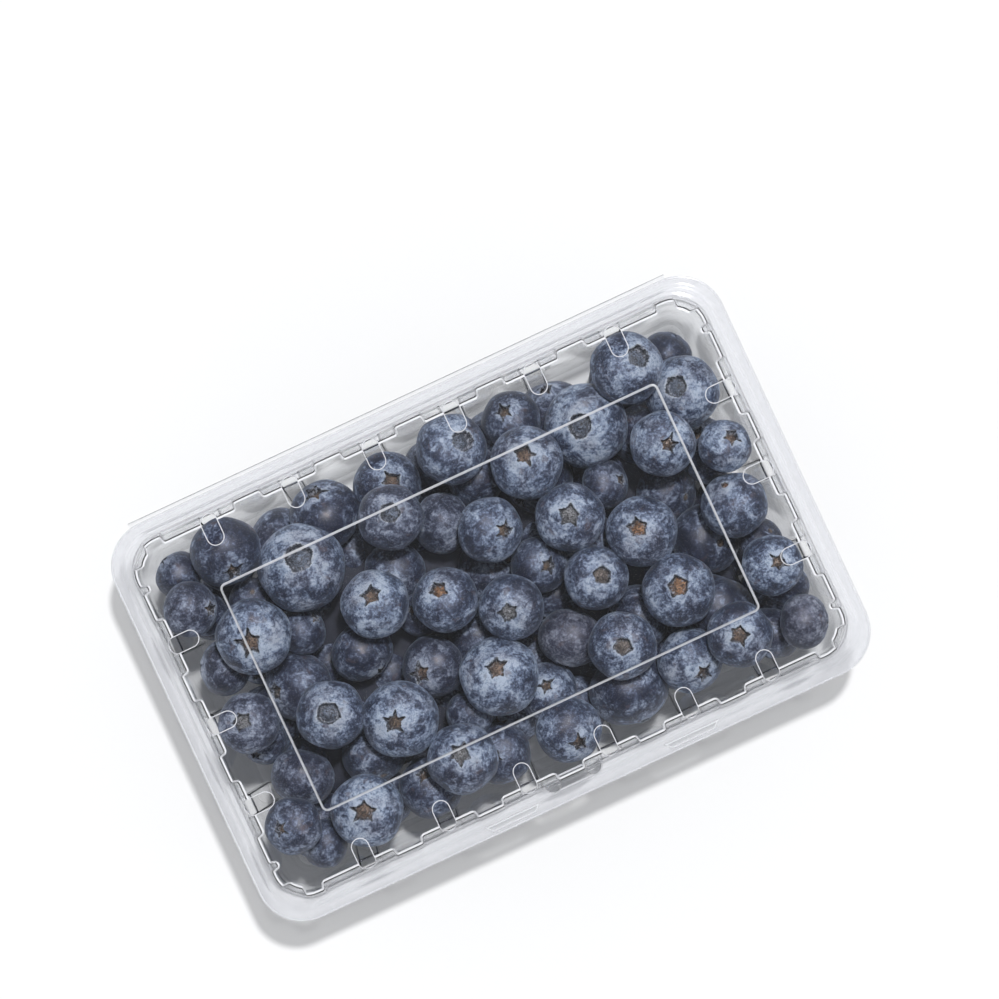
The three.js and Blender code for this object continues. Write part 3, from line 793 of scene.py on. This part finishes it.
def lay_lip(bm, spots):
    """A thin closed cord through spots, round in section."""
    rings = []
    for before, spot, after in zip(spots[-1:] + spots, spots, spots[1:] + spots[:1]):
        turn = (after - before).normalized().to_track_quat("Z", "Y").to_matrix().to_4x4()
        rings.append(bmesh.ops.create_circle(
            bm, segments=LIP_SIDES, radius=LIP, matrix=Matrix.Translation(spot) @ turn
        )["verts"])
    for here, there in zip(rings, rings[1:] + rings[:1]):
        for i in range(LIP_SIDES):
            bm.faces.new((here[i - 1], here[i], there[i], there[i - 1]))


def thumb_rest():
    half, y = THUMB_REST["half"], THUMB_REST["y"]
    back = -MOUTH["width"] / 2 + 2
    right = [(half - 1, y), (half, y + 1), (half, back)]
    outline = [(-x, y) for x, y in right[::-1]] + right
    return bevelled_block(outline, THUMB_REST["height"], 0.4)


def latch_tab(x):
    width, depth, y = LATCH_TAB["width"], LATCH_TAB["depth"], LATCH_TAB["y"]
    outline = [
        (x - width / 2 + depth, y - depth),
        (x + width / 2 - depth, y - depth),
        (x + width / 2, y),
        (x - width / 2, y),
    ]
    return bevelled_block(outline, LATCH_TAB["rise"], 0.3)


# ---------- tray


def taper_at(z):
    """How far the tray's wall is drawn in from the mouth at a height."""
    below = 1 - max(z, 0) / PARTING_HEIGHT
    return WALL_SLACK + (TRAY_TAPER - WALL_SLACK) * below


def tray_levels():
    """The tray's upper and inner face, from the edge of its flange down to its floor."""
    floor = inset(MOUTH, TRAY_TAPER + SKIN)

    def wall(z):
        return inset(MOUTH, taper_at(z) + SKIN)

    nest = BEAD_FOOT_INSET + SHEET + SEAM
    # The flange and bead are whitened: partly haze, partly painted reflection of a bright studio
    edge = PALE_EDGE
    return [
        level(FLANGE, TRAY_TOP - 0.15, line=edge, bend=0.2),
        # The flange's rounded outer edge is in the whitened fold plastic: a painted highlight
        level(inset(FLANGE, 0.12), TRAY_TOP, line=PAINTED_HIGHLIGHT, bend=0.2),
        level(inset(FLANGE, nest), TRAY_TOP, line=edge),
        level(inset(MOUTH, 0.05), TRAY_TOP + BEAD_RISE - 0.05, line=edge),
        level(inset(MOUTH, 0.6), TRAY_TOP + BEAD_RISE - 0.05, line=edge),
        level(inset(MOUTH, WALL_SLACK + SKIN), TRAY_TOP - 0.8, line=edge),
        level(wall(RIB_TOP + 2.6), RIB_TOP + 2.6),
        level(wall(RIB_TOP), RIB_TOP, RIB_DEPTH),
        level(inset(floor, 0.1), SKIN + FOOT_ROUND + 1.0, RIB_DEPTH),
        level(inset(floor, FOOT_ROUND), SKIN),
        level(inset(floor, FOOT_ROUND + 1.2), SKIN),
    ]


def hinge_fold():
    """The fold behind the two flanges: a thin half-round strip."""
    bm = bmesh.new()
    start, end = HINGE_ENDS
    back = FLANGE["width"] / 2 + FLANGE["shift"] - HINGE_OVERLAP
    profile = [(back, TRAY_TOP - 0.05), (HINGE_Y, TRAY_TOP - 0.05)]
    for step in range(1, 8):
        angle = -pi / 2 + pi * step / 8
        y = HINGE_Y + cos(angle) * HINGE_REACH
        profile.append((y, PARTING_HEIGHT + sin(angle) * HINGE_RISE))
    profile.append((HINGE_Y, TRAY_TOP + 0.35))
    verts = [bm.verts.new((start, y, z)) for y, z in profile]
    edges = [bm.edges.new(pair) for pair in zip(verts, verts[1:] + verts[:1])]
    bmesh.ops.contextual_create(bm, geom=edges)
    extrude_by(bm, bm.faces[:], (end - start, 0, 0))
    return bm


def build_tray(materials):
    panel_levels = [
        level(FLOOR_PANEL, SKIN),
        level(inset(FLOOR_PANEL, 0.3), SKIN + 0.12),
        level(inset(FLOOR_PANEL, FLOOR_RISE - 0.2), SKIN + FLOOR_RISE - 0.15),
        level(inset(FLOOR_PANEL, FLOOR_RISE + 0.2), SKIN + FLOOR_RISE),
    ]
    piece = formed_sheet(
        "punnet_tray", materials, stations_of(TRAY_RIBS, 16), tray_levels(),
        stations_of(PLAIN, corner_steps=6), panel_levels,
    )
    boolean_with(piece, pill_cutter(TRAY_TAPER, -1.0, FLOOR_VENT_TOP), "DIFFERENCE")
    boolean_with(piece, hinge_fold(), "UNION")
    finish_shading(piece)
    return piece


# ---------- blueberries

# How flat a berry is, and how closely two berries and a berry and a wall may lie
FLATNESS = 0.86
CONTACT = 0.94
WALL_GAP = 0.4
CORNER_LEAST = 0.01

# The room between the raised floor and the lid
CEILING = LID_TOP - SHEET
BED = SHEET + FLOOR_RISE

# How the heap settles
SEED = 12345
SETTLE_ROUNDS = 400
TOP_WEIGHT = 6
PULL_HOME = 0.1
SINK = 0.06
LAYER_DROP = 11.5

# The berries under the top ones: each layer's height, its berries along and across, its step
LOWER_LAYERS = ((9.5, 7, 4, 17.6), (20, 6, 4, 20))
ROW_STEP = 18.6
ROW_SHIFT = 4
SCATTER = 3
SMALLEST = 14.2
SPREAD_OF_SIZE = 3.2
LOWER_CEILING = 6.5

# The small berries in the gaps: their radii, and the spots that are tried for them
FILL_SEED = 777
FILL_TOP = 30.5
FILL_START = 24.5
FILL_DROP = 1.7
FILL_LEVELS = 11
FILL_STEP = 3.8
FILL_COLUMNS = 17
FILL_ROWS = 10
FILL_SCATTER = 2
FILL_CONTACT = 0.86
LEAST_FILL = 5.2
MOST_FILL = 7.4

# Each berry on top: place across the punnet, diameter, which way its crown faces as a share
# of the radius, depth in layers, and its kind of crown and skin.
CROWN_BERRIES = (
    (-49.5, 35.9, 16.3, 0, -0.7, 0, "star", "dusky"),
    (-26.5, 35.1, 16.6, 0, 0.77, 0.4, "star", "dusky"),
    (-10.4, 34.5, 15.7, 0.23, 0.06, 1, "open", "medium"),
    (-12.7, 25.6, 15.1, 0.07, 0.15, 0, "ring", "dull"),
    (-35.3, 23.9, 20.2, 0.08, 0.27, 0, "ring", "bright"),
    (-62.4, 25.8, 12.9, 0.78, -0.35, 0, "star", "dull"),
    (-51.8, 14.3, 17.4, -0.13, -0.13, 0, "open", "bright"),
    (-60.8, -2.8, 14.0, -0.16, 0.18, 0, "pale", "dull"),
    (-62.7, -27.9, 13.2, -0.5, 0.15, 0, "star", "dusky"),
    (-45.2, -31.7, 16.8, -0.05, 0.04, 0, "open", "bright"),
    (-43.5, -8.6, 15.7, -0.01, 0.1, 0, "ring", "medium"),
    (-29.9, -16.3, 17.7, -0.19, 0.01, 0, "star", "bright"),
    (-18.3, -9.0, 14.3, -0.5, 0, 1, "open", "dull"),
    (-24.0, 9.4, 15.7, 0.04, 0.34, 0, "open", "bright"),
    (-9.3, 3.6, 15.1, -0.07, 0.44, 0, "rust", "medium"),
    (-4.5, -16.6, 18.2, 0.02, 0.28, 0, "open", "bright"),
    (-20.9, -30.3, 16.3, 0.03, 0.21, 0, "pale", "medium"),
    (2.8, -24.7, 13.5, 0.02, 0.3, 1, "star", "medium"),
    (-31.4, 0.9, 14.6, 0.3, -0.93, 1, "star", "dusky"),
    (-2.8, 19.6, 14.0, -0.8, 0.5, 1, "star", "dull"),
    (6.2, 34.4, 16.3, 0.46, 0.07, 0, "ring", "medium"),
    (21.1, 36.4, 13.5, -0.13, 0.42, 0.6, "star", "dusky"),
    (35.9, 26.0, 19.3, -0.19, 0.05, 0, "ring", "bright"),
    (20.3, 23.8, 16.8, 0.03, 0.28, 0, "open", "bright"),
    (49.5, 35.9, 16.6, 0.49, 0.16, 0, "ring", "medium"),
    (61.7, 34.2, 11.8, 0.7, 0.7, 1, "star", "dusky"),
    (58.6, 23.8, 17.0, -0.14, 0.24, 0, "ring", "bright"),
    (49.9, 15.1, 15.1, 0.15, -0.1, 0, "star", "bright"),
    (63.0, 8.4, 12.1, 0.43, 0.28, 0, "open", "bright"),
    (6.4, 13.5, 15.1, 0.46, -0.21, 0, "star", "medium"),
    (23.8, 8.5, 15.9, 0.01, 0.1, 0, "pale", "medium"),
    (13.1, 1.7, 13.2, 0.31, -0.17, 1, "star", "dusky"),
    (37.0, -1.1, 16.3, -0.08, 0.18, 0, "rust", "medium"),
    (2.8, -5.0, 15.1, -0.16, -0.1, 0, "pale", "medium"),
    (23.3, -6.2, 14.8, 0.24, 0.02, 0, "round", "medium"),
    (58.3, -4.5, 15.5, -0.04, 0.75, 0, "scar", "medium"),
    (12.3, -16.3, 14.9, -0.6, -0.8, 0.5, "star", "dusty"),
    (22.1, -22.6, 15.7, -0.01, 0, 0, "round", "medium"),
    (39.0, -16.6, 16.8, 0.03, 0.15, 0, "rust", "medium"),
    (60.2, -20.2, 14.0, 0.24, 0.03, 0, "star", "bright"),
    (19.5, -33.6, 18.5, 0.02, -0.97, 0.8, "scar", "dusky"),
    (36.2, -31.7, 15.1, 0.22, -0.58, 0.4, "star", "bright"),
    (46.0, -31.4, 15.1, -0.03, 0.04, 0, "open", "medium"),
    (3.4, -35.6, 15.1, 0.15, -0.53, 0, "star", "medium"),
    (61.7, -34.8, 12.6, 0.9, -0.4, 0.3, "star", "dusty"),
    (54.1, -34.2, 12.9, -0.7, -0.7, 1, "star", "dusky"),
    (-30.3, -36.8, 14.6, 0, 0.55, 1, "star", "dusky"),
    (-55.5, -19.1, 14.6, -0.6, -0.8, 1, "star", "dull"),
    (-63.9, 10.6, 12.9, -0.9, 0.4, 1, "star", "dull"),
)


def draws_from(seed):
    """A repeatable run of draws between 0 and 1."""
    state = seed
    while True:
        state = (state * 16807) % 2147483647
        yield state / 2147483647


def off(draw, spread=1):
    return (next(draw) - 0.5) * spread


def length_of(*parts):
    return sqrt(sum(part * part for part in parts))


def unit(x, y, z):
    size = length_of(x, y, z)
    return [x / size, y / size, z / size]


def any_axis(draw):
    return unit(off(draw), off(draw), off(draw))


def reach_of(radius, axis):
    return [radius * sqrt(1 - part * part * (1 - FLATNESS * FLATNESS)) for part in axis]


def berry_at(x, y, z, diameter, axis, crown=None, skin="buried"):
    radius = diameter / 2
    return {
        "place": [x, y, z],
        "home": (x, y) if crown else None,
        "radius": radius,
        "axis": axis,
        "reach": reach_of(radius, axis),
        "weight": TOP_WEIGHT if crown else 1,
        "crown": crown,
        "skin": skin,
    }


def berries_at_start():
    draw = draws_from(SEED)
    berries = []
    for x, y, diameter, tilt_x, tilt_y, depth, crown, skin in CROWN_BERRIES:
        flat = tilt_x * tilt_x + tilt_y * tilt_y
        axis = unit(tilt_x, tilt_y, sqrt(max(0.01, 1 - flat)))
        z = CEILING - WALL_GAP - reach_of(diameter / 2, axis)[2] - LAYER_DROP * depth
        berries.append(berry_at(x, y, z, diameter, axis, crown, skin))
    for level_z, along, across, step in LOWER_LAYERS:
        for i in range(along):
            for j in range(across):
                diameter = SMALLEST + SPREAD_OF_SIZE * next(draw)
                shift = ROW_SHIFT if j % 2 else -ROW_SHIFT
                x = (i - (along - 1) / 2) * step + shift + off(draw, SCATTER)
                y = (j - (across - 1) / 2) * ROW_STEP + off(draw, SCATTER)
                z = level_z + off(draw, SCATTER)
                berries.append(berry_at(x, y, z, diameter, any_axis(draw)))
    return berries


def room_at(z):
    """Half the length and the width that the berries have at a height."""
    up = (z - PARTING_HEIGHT) / (CEILING - PARTING_HEIGHT)
    if z < PARTING_HEIGHT:
        drawn_in = SHEET + RIB_DEPTH + taper_at(z)
    else:
        drawn_in = SHEET + WALL_SLACK + RIB_DEPTH * (1 - up) + (LID_TAPER + BAY_DEPTH) * up
    return MOUTH["length"] / 2 - drawn_in, MOUTH["width"] / 2 - drawn_in


def clamp(value, low, high):
    return min(high, max(low, value))


def keep_inside(berry):
    """Keeps a berry inside the punnet, clear of its walls, floor and lid."""
    place, reach = berry["place"], berry["reach"]
    half_x, half_y = room_at(place[2])
    far_x = half_x - reach[0] - WALL_GAP
    far_y = half_y - reach[1] - WALL_GAP
    place[0] = clamp(place[0], -far_x, far_x)
    place[1] = clamp(place[1], -far_y, far_y)
    corner = MOUTH["radius"]
    past_x = abs(place[0]) - half_x + corner
    past_y = abs(place[1]) - half_y + corner
    if past_x > 0 and past_y > 0:
        size = length_of(past_x, past_y)
        most = max(corner - berry["radius"] - WALL_GAP, CORNER_LEAST)
        if size > most:
            place[0] = copysign(half_x - corner + past_x * most / size, place[0])
            place[1] = copysign(half_y - corner + past_y * most / size, place[1])
    top = CEILING - WALL_GAP - reach[2] - (0 if berry["home"] else LOWER_CEILING)
    place[2] = clamp(place[2], BED + WALL_GAP + reach[2], top)


def push_apart(a, b):
    """Pushes two berries apart where they overlap, the lighter one further."""
    touch = (a["radius"] + b["radius"]) * CONTACT
    place_a, place_b = a["place"], b["place"]
    gap_x = place_b[0] - place_a[0]
    if abs(gap_x) > touch:
        return
    gap_y = place_b[1] - place_a[1]
    gap_z = place_b[2] - place_a[2]
    if abs(gap_y) > touch or abs(gap_z) > touch:
        return
    size = length_of(gap_x, gap_y, gap_z)
    if size >= touch or size == 0:
        return
    push = (touch - size) / size
    share = b["weight"] / (a["weight"] + b["weight"])
    for i, gap in enumerate((gap_x, gap_y, gap_z)):
        place_a[i] -= gap * push * share
        place_b[i] += gap * push * (1 - share)


def settled_berries():
    """Lets the heap settle until the berries lie against each other and the walls."""
    berries = berries_at_start()
    pairs = [(a, b) for i, a in enumerate(berries) for b in berries[i + 1:]]
    for _ in range(SETTLE_ROUNDS):
        for berry in berries:
            place = berry["place"]
            if berry["home"]:
                place[0] += (berry["home"][0] - place[0]) * PULL_HOME
                place[1] += (berry["home"][1] - place[1]) * PULL_HOME
            else:
                place[2] -= SINK
        for a, b in pairs:
            push_apart(a, b)
        for berry in berries:
            keep_inside(berry)
    return berries


def room_round(x, y, z):
    """How far a spot in the heap is from the walls, the bed and the top of the fill."""
    half_x, half_y = room_at(z)
    room = min(half_x - abs(x), half_y - abs(y), z - BED, FILL_TOP - z)
    past_x = abs(x) - half_x + MOUTH["radius"]
    past_y = abs(y) - half_y + MOUTH["radius"]
    if past_x > 0 and past_y > 0:
        room = min(room, MOUTH["radius"] - length_of(past_x, past_y))
    return room - WALL_GAP


def berries_in_gaps(berries):
    """Small berries for the gaps that the others leave, from the top of the heap down."""
    draw = draws_from(FILL_SEED)
    heap = list(berries)
    for depth in range(FILL_LEVELS):
        for i in range(-FILL_COLUMNS, FILL_COLUMNS + 1):
            for j in range(-FILL_ROWS, FILL_ROWS + 1):
                x = i * FILL_STEP + off(draw, FILL_SCATTER)
                y = j * FILL_STEP + off(draw, FILL_SCATTER)
                z = FILL_START - depth * FILL_DROP
                room = min(room_round(x, y, z), MOST_FILL)
                for other in heap:
                    if room < LEAST_FILL:
                        break
                    there = other["place"]
                    apart = length_of(there[0] - x, there[1] - y, there[2] - z)
                    room = min(room, apart - other["radius"] * FILL_CONTACT)
                if room >= LEAST_FILL:
                    heap.append(berry_at(x, y, z, 2 * room, any_axis(draw)))
    return heap


# How each kind of crown is cut: the radius of its cup as a share of the berry's, how far and
# how sharply its points reach out, its depth, how much of that depth the middle keeps, how
# pale its edge is, and the colour of its dry floor.
CROWNS = {
    "star": (0.180, 0.95, 10, 0.20, 0.60, 0.35, (0.230, 0.160, 0.115)),
    "open": (0.215, 0.75, 8, 0.20, 0.65, 0.60, (0.270, 0.180, 0.130)),
    "pale": (0.225, 0.55, 7, 0.16, 0.45, 0.55, (0.340, 0.345, 0.365)),
    "rust": (0.225, 0.50, 6, 0.17, 0.60, 0.45, (0.420, 0.215, 0.105)),
    "ring": (0.285, 0.12, 3, 0.16, 0.25, 0.95, (0.190, 0.230, 0.310)),
    "round": (0.255, 0.22, 4, 0.19, 0.50, 0.60, (0.230, 0.190, 0.170)),
    "scar": (0.100, 0.0, 1, 0.05, 0.70, 0.90, (0.290, 0.160, 0.100)),
}

# How much bloom each kind of skin has, and how much dust
SKINS = {
    "bright": (0.60, 0.05),
    "medium": (0.50, 0.15),
    "dull": (0.44, 0.60),
    "dusty": (0.46, 0.90),
    "dusky": (0.33, 0.30),
    "buried": (0.36, 0.35),
}
CROWN_RINGS = 9
CROWN_REACH = 0.29
STEM_DIMPLE = 0.05
STEM_WIDTH = 0.6
BODY_POWER = 2.2
CLEARANCE = 0.985
BALL = {"segments": 60, "rings": 28}
LOW_BALL = {"segments": 30, "rings": 22}


def body_height(share):
    """How high the berry's top stands at a share of its radius."""
    return FLATNESS * (1 - min(share, 1.0) ** BODY_POWER) ** (1 / BODY_POWER)


def crown_point(ring, cup, reach, depth, middle, flap):
    """Radius and height of one ring of the crown, as shares of the berry's radius, and how
    far out it lies as a share of the way to the crown's edge."""
    lobe = cup * (1 + reach)
    inner = cup * (1 + reach * 0.5)
    table = (
        (0.0, -middle * depth, 0.0),
        (0.34 * cup, -(0.2 + 0.8 * middle) * depth, 0.3),
        (0.68 * inner, -0.95 * depth, 0.6),
        (0.86 * lobe, -1.05 * depth, 0.8),
        (0.96 * lobe, -0.45 * depth, 0.93),
        (lobe, 0.012 + flap, 1.0),
        (lobe + 0.03, 0.034 - 0.02 * reach + flap, 1.12),
        (cup * (1 + reach * 0.6) + 0.095, 0.018, 1.5),
        (cup * (1 + reach * 0.3) + 0.18, 0.0, 2.0),
    )
    share, lift, rim = table[ring]
    return share, body_height(max(share, cup)) + lift, rim


def body_point(along, start):
    """The same for one ring of the rest of the berry, from its crown down to its stem end."""
    alpha = start + (pi - start) * along
    share = max(sin(alpha), 0.0) ** (2 / BODY_POWER)
    height = copysign(abs(cos(alpha)) ** (2 / BODY_POWER), cos(alpha))
    return share, FLATNESS * height, 2.2 + 8 * along


def marked_bmesh():
    """An empty bmesh with the two layers that the skin reads."""
    bm = bmesh.new()
    bm.verts.layers.float_color.new("marks_and_shade")
    bm.verts.layers.float_color.new("crown_floor")
    return bm


def round_blank(segments, rings):
    """A plain ball that every berry of a piece is grown from."""
    bm = marked_bmesh()
    bmesh.ops.create_uvsphere(bm, u_segments=segments, v_segments=rings, radius=1.0)
    blank = bpy.data.meshes.new("blank")
    bm.to_mesh(blank)
    bm.free()
    return blank


def grow_berry(bm, berry, draw, blank, rings):
    """Adds one berry to a mesh and records its crown, its bloom, its dust and the painted shade
    in its crown.
    """
    cup, points, sharp, depth, middle, lip, dry = CROWNS[berry["crown"] or "star"]
    bloom, dust = SKINS[berry["skin"]]
    bloom += off(draw, 0.12)
    cup *= 0.92 + 0.16 * next(draw)
    depth *= 0.85 + 0.3 * next(draw)
    roll = next(draw) * tau
    offset = Vector((next(draw), next(draw), next(draw))) * 40
    lobes = [(0.35 + 0.95 * next(draw), off(draw, 0.36)) for _ in range(5)]
    # The side of the crown that gets a painted crescent of shade
    shaded_side = next(draw) * tau
    marks_and_shade = bm.verts.layers.float_color["marks_and_shade"]
    floor = bm.verts.layers.float_color["crown_floor"]
    bm.from_mesh(blank)
    bm.verts.ensure_lookup_table()
    start = asin(min(cup + CROWN_REACH, 0.9))
    turn = Vector(berry["axis"]).to_track_quat("Z", "Y") @ Quaternion((0, 0, 1), roll)
    place = Vector(berry["place"])
    radius = berry["radius"] * CLEARANCE
    for vert in bm.verts[-len(blank.vertices):]:
        ring = round(acos(clamp(vert.co.z, -1.0, 1.0)) / pi * rings)
        angle = atan2(vert.co.y, vert.co.x)
        round_x, round_y = cos(angle), sin(angle)
        nearest = round(angle / tau * 5)
        length, lean = lobes[nearest % 5]
        beside = angle - nearest * tau / 5 - lean
        peak = max(0.0, cos(2.5 * beside)) ** sharp
        uneven = noise.noise(offset + Vector((round_x, round_y, 0)) * 1.3)
        ragged = noise.noise(offset + Vector((round_x, round_y, 3)) * 4.5)
        shade = 0.0
        if ring < CROWN_RINGS:
            reach = points * peak * length + 0.12 * uneven + 0.07 * ragged
            flap = 0.022 * max(0.0, uneven + 0.4 * ragged) * lip
            share, height, rim = crown_point(ring, cup, reach, depth, middle, flap)
            # Painted shade: the star's arms and one side of the crown's edge darkened as if in
            # shadow, kept in the alpha of the vertex colour
            arm_shade = clamp((share / cup - 0.80) / 0.25, 0.0, 1.0)
            crescent_shade = clamp(0.25 + cos(angle - shaded_side), 0.0, 1.0) * min(rim, 1.0)
            shade = max(arm_shade, 0.9 * crescent_shade)
        else:
            along = (ring - CROWN_RINGS) / (rings - CROWN_RINGS)
            share, height, rim = body_point(along, start)
            if ring >= rings - 1:
                height += STEM_DIMPLE
                share *= STEM_WIDTH
                rim = 0.0 if ring == rings else 1.2
        swell = 1 + 0.015 * cos(5 * angle) * share
        spot = Vector((round_x * share * swell, round_y * share * swell, height))
        spot *= 1 + 0.03 * noise.noise(spot * 1.4 + offset)
        ring_glow = exp(-(((share - 1.7 * cup) / 0.22) ** 2)) if height > 0 else 0.0
        glow = clamp(bloom + 0.16 * ring_glow, 0, 1)
        vert[marks_and_shade] = (min(rim / RIM_SCALE, 1.0), glow, dust, shade)
        vert[floor] = (*dry, lip)
        vert.co = place + turn @ (spot * radius)


def build_berries(name, berries, material, ball, seed):
    bm = marked_bmesh()
    draw = draws_from(seed)
    blank = round_blank(**ball)
    for berry in berries:
        grow_berry(bm, berry, draw, blank, ball["rings"])
    bpy.data.meshes.remove(blank)
    return finish_piece(name, bm, [material])


CORE = {"inset": 13, "height": 8, "level": 11, "bevel": 5, "uneven": 1.6}


def build_core(material):
    """The middle of the heap, behind the berries: a dark block whose near-black skin paints the
    shade deep in the heap.
    """
    length, width = (2 * half - 2 * CORE["inset"] for half in room_at(12))
    bm = bmesh.new()
    bmesh.ops.create_cube(bm, size=1.0)
    bmesh.ops.scale(bm, vec=(length, width, CORE["height"]), verts=bm.verts)
    bmesh.ops.translate(bm, verts=bm.verts, vec=(0, 0, CORE["level"]))
    bmesh.ops.bevel(
        bm, geom=bm.edges[:], offset=CORE["bevel"], segments=4, affect="EDGES", profile=0.5,
        material=-1,
    )
    bmesh.ops.subdivide_edges(bm, edges=bm.edges[:], cuts=2, use_grid_fill=True)
    for vert in bm.verts:
        vert.co += vert.co.normalized() * noise.noise(vert.co * 0.09) * CORE["uneven"]
    return finish_piece("heap_core", bm, [material])


# ---------- camera, light, floor

# What the view takes in across, the level that this is measured at, its middle and its turn
VIEW_WIDTH = 0.2222
VIEW_LEVEL = 0.0395
VIEW_MIDDLE = (0.01115, 0.01885)
VIEW_TURN = -25
SUN = {"energy": 2.75, "angle": 3.2, "from": (5.7, 6.6, 30.0)}


def build_camera():
    data = bpy.data.cameras.new("camera")
    data.lens = 200
    data.sensor_width = 36
    data.clip_start = 0.05
    data.clip_end = 20
    camera = add_object("camera", data)
    away = VIEW_WIDTH * data.lens / data.sensor_width
    camera.location = (*VIEW_MIDDLE, VIEW_LEVEL + away)
    camera.rotation_euler = (0, 0, radians(VIEW_TURN))
    bpy.context.scene.camera = camera


def build_light():
    """A soft sun under a pale sky that is darker overhead."""
    data = bpy.data.lights.new("key", "SUN")
    data.energy = SUN["energy"]
    data.angle = radians(SUN["angle"])
    key = add_object("key", data)
    key.rotation_euler = Vector(SUN["from"]).to_track_quat("Z", "Y").to_euler()
    world = bpy.data.worlds.new("studio")
    bpy.context.scene.world = world
    world.use_nodes = True
    world.node_tree.nodes.clear()
    split = shader(world, "SeparateXYZ")
    tone = ramp(world, [(0.2, (0.80, 0.81, 0.83)), (0.62, (0.13, 0.135, 0.145))])
    back = shader(world, "Background")
    wire(shader(world, "TexCoord"), "Generated", split, "Vector")
    wire(split, "Z", tone, "Fac")
    wire(tone, "Color", back, "Color")
    wire(back, "Background", shader(world, "OutputWorld"), "Surface")


def build_floor():
    bm = bmesh.new()
    bmesh.ops.create_grid(bm, x_segments=4, y_segments=4, size=4000)
    bmesh.ops.translate(bm, verts=bm.verts, vec=(0, 0, -0.05))
    material = new_material("pale floor")
    surface = shader(
        material, "BsdfPrincipled", Base_Color=(0.95, 0.95, 0.95, 1), Roughness=0.9,
        Specular_IOR_Level=0.1,
    )
    wire_surface(material, surface)
    floor = finish_piece("floor", bm, [material])


# ---------- the punnet

bpy.context.scene.view_settings.view_transform = "Standard"
build_camera()
build_light()
build_floor()

lid_plastics = [
    clear_plastic("clear lid plastic", 0.002, 0.04, 0.96),
    # Whitened along folds, lips and rounded edges as a painted highlight
    clear_plastic("lid plastic whitened at a fold as a painted highlight", 0.64, 0.15, 0.85),
    # Partly haze and partly painted reflection of a bright studio in the stacked flanges
    clear_plastic("pale edge of the lid", 0.26, 0.08, 0.80),
]
tray_plastics = [
    clear_plastic("clear tray plastic", 0.004, 0.05, 0.96),
    # Whitened along folds and rounded edges as a painted highlight
    clear_plastic("tray plastic whitened at a fold as a painted highlight", 0.36, 0.15, 0.85),
    # Partly haze and partly painted reflection of a bright studio in the stacked flanges
    clear_plastic("pale edge of the tray", 0.14, 0.08, 0.81),
]
skin = berry_skin("bloomed skin")
# Near-black skin for the heap's core: painted shade deep among the berries
core_shade_skin = plain_surface("shaded skin", (0.009, 0.011, 0.024), 0.8)

lid = build_lid(lid_plastics)
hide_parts("lid")
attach(lid, "lid")

tray = build_tray(tray_plastics)
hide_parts("tray")
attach(tray, "tray")

heap = berries_in_gaps(settled_berries())
bloomed = [b for b in heap if b["skin"] in ("bright", "medium")]
dusky = [b for b in heap if b["skin"] in ("dull", "dusty", "dusky")]
buried = [b for b in heap if b["skin"] == "buried"]
for piece in (
    build_berries("bloomed_berries", bloomed, skin, BALL, 71),
    build_berries("dusky_berries", dusky, skin, BALL, 72),
    build_berries("buried_berries", buried, skin, LOW_BALL, 73),
    build_core(core_shade_skin),
):
    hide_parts("blueberries")
    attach(piece, "tray")
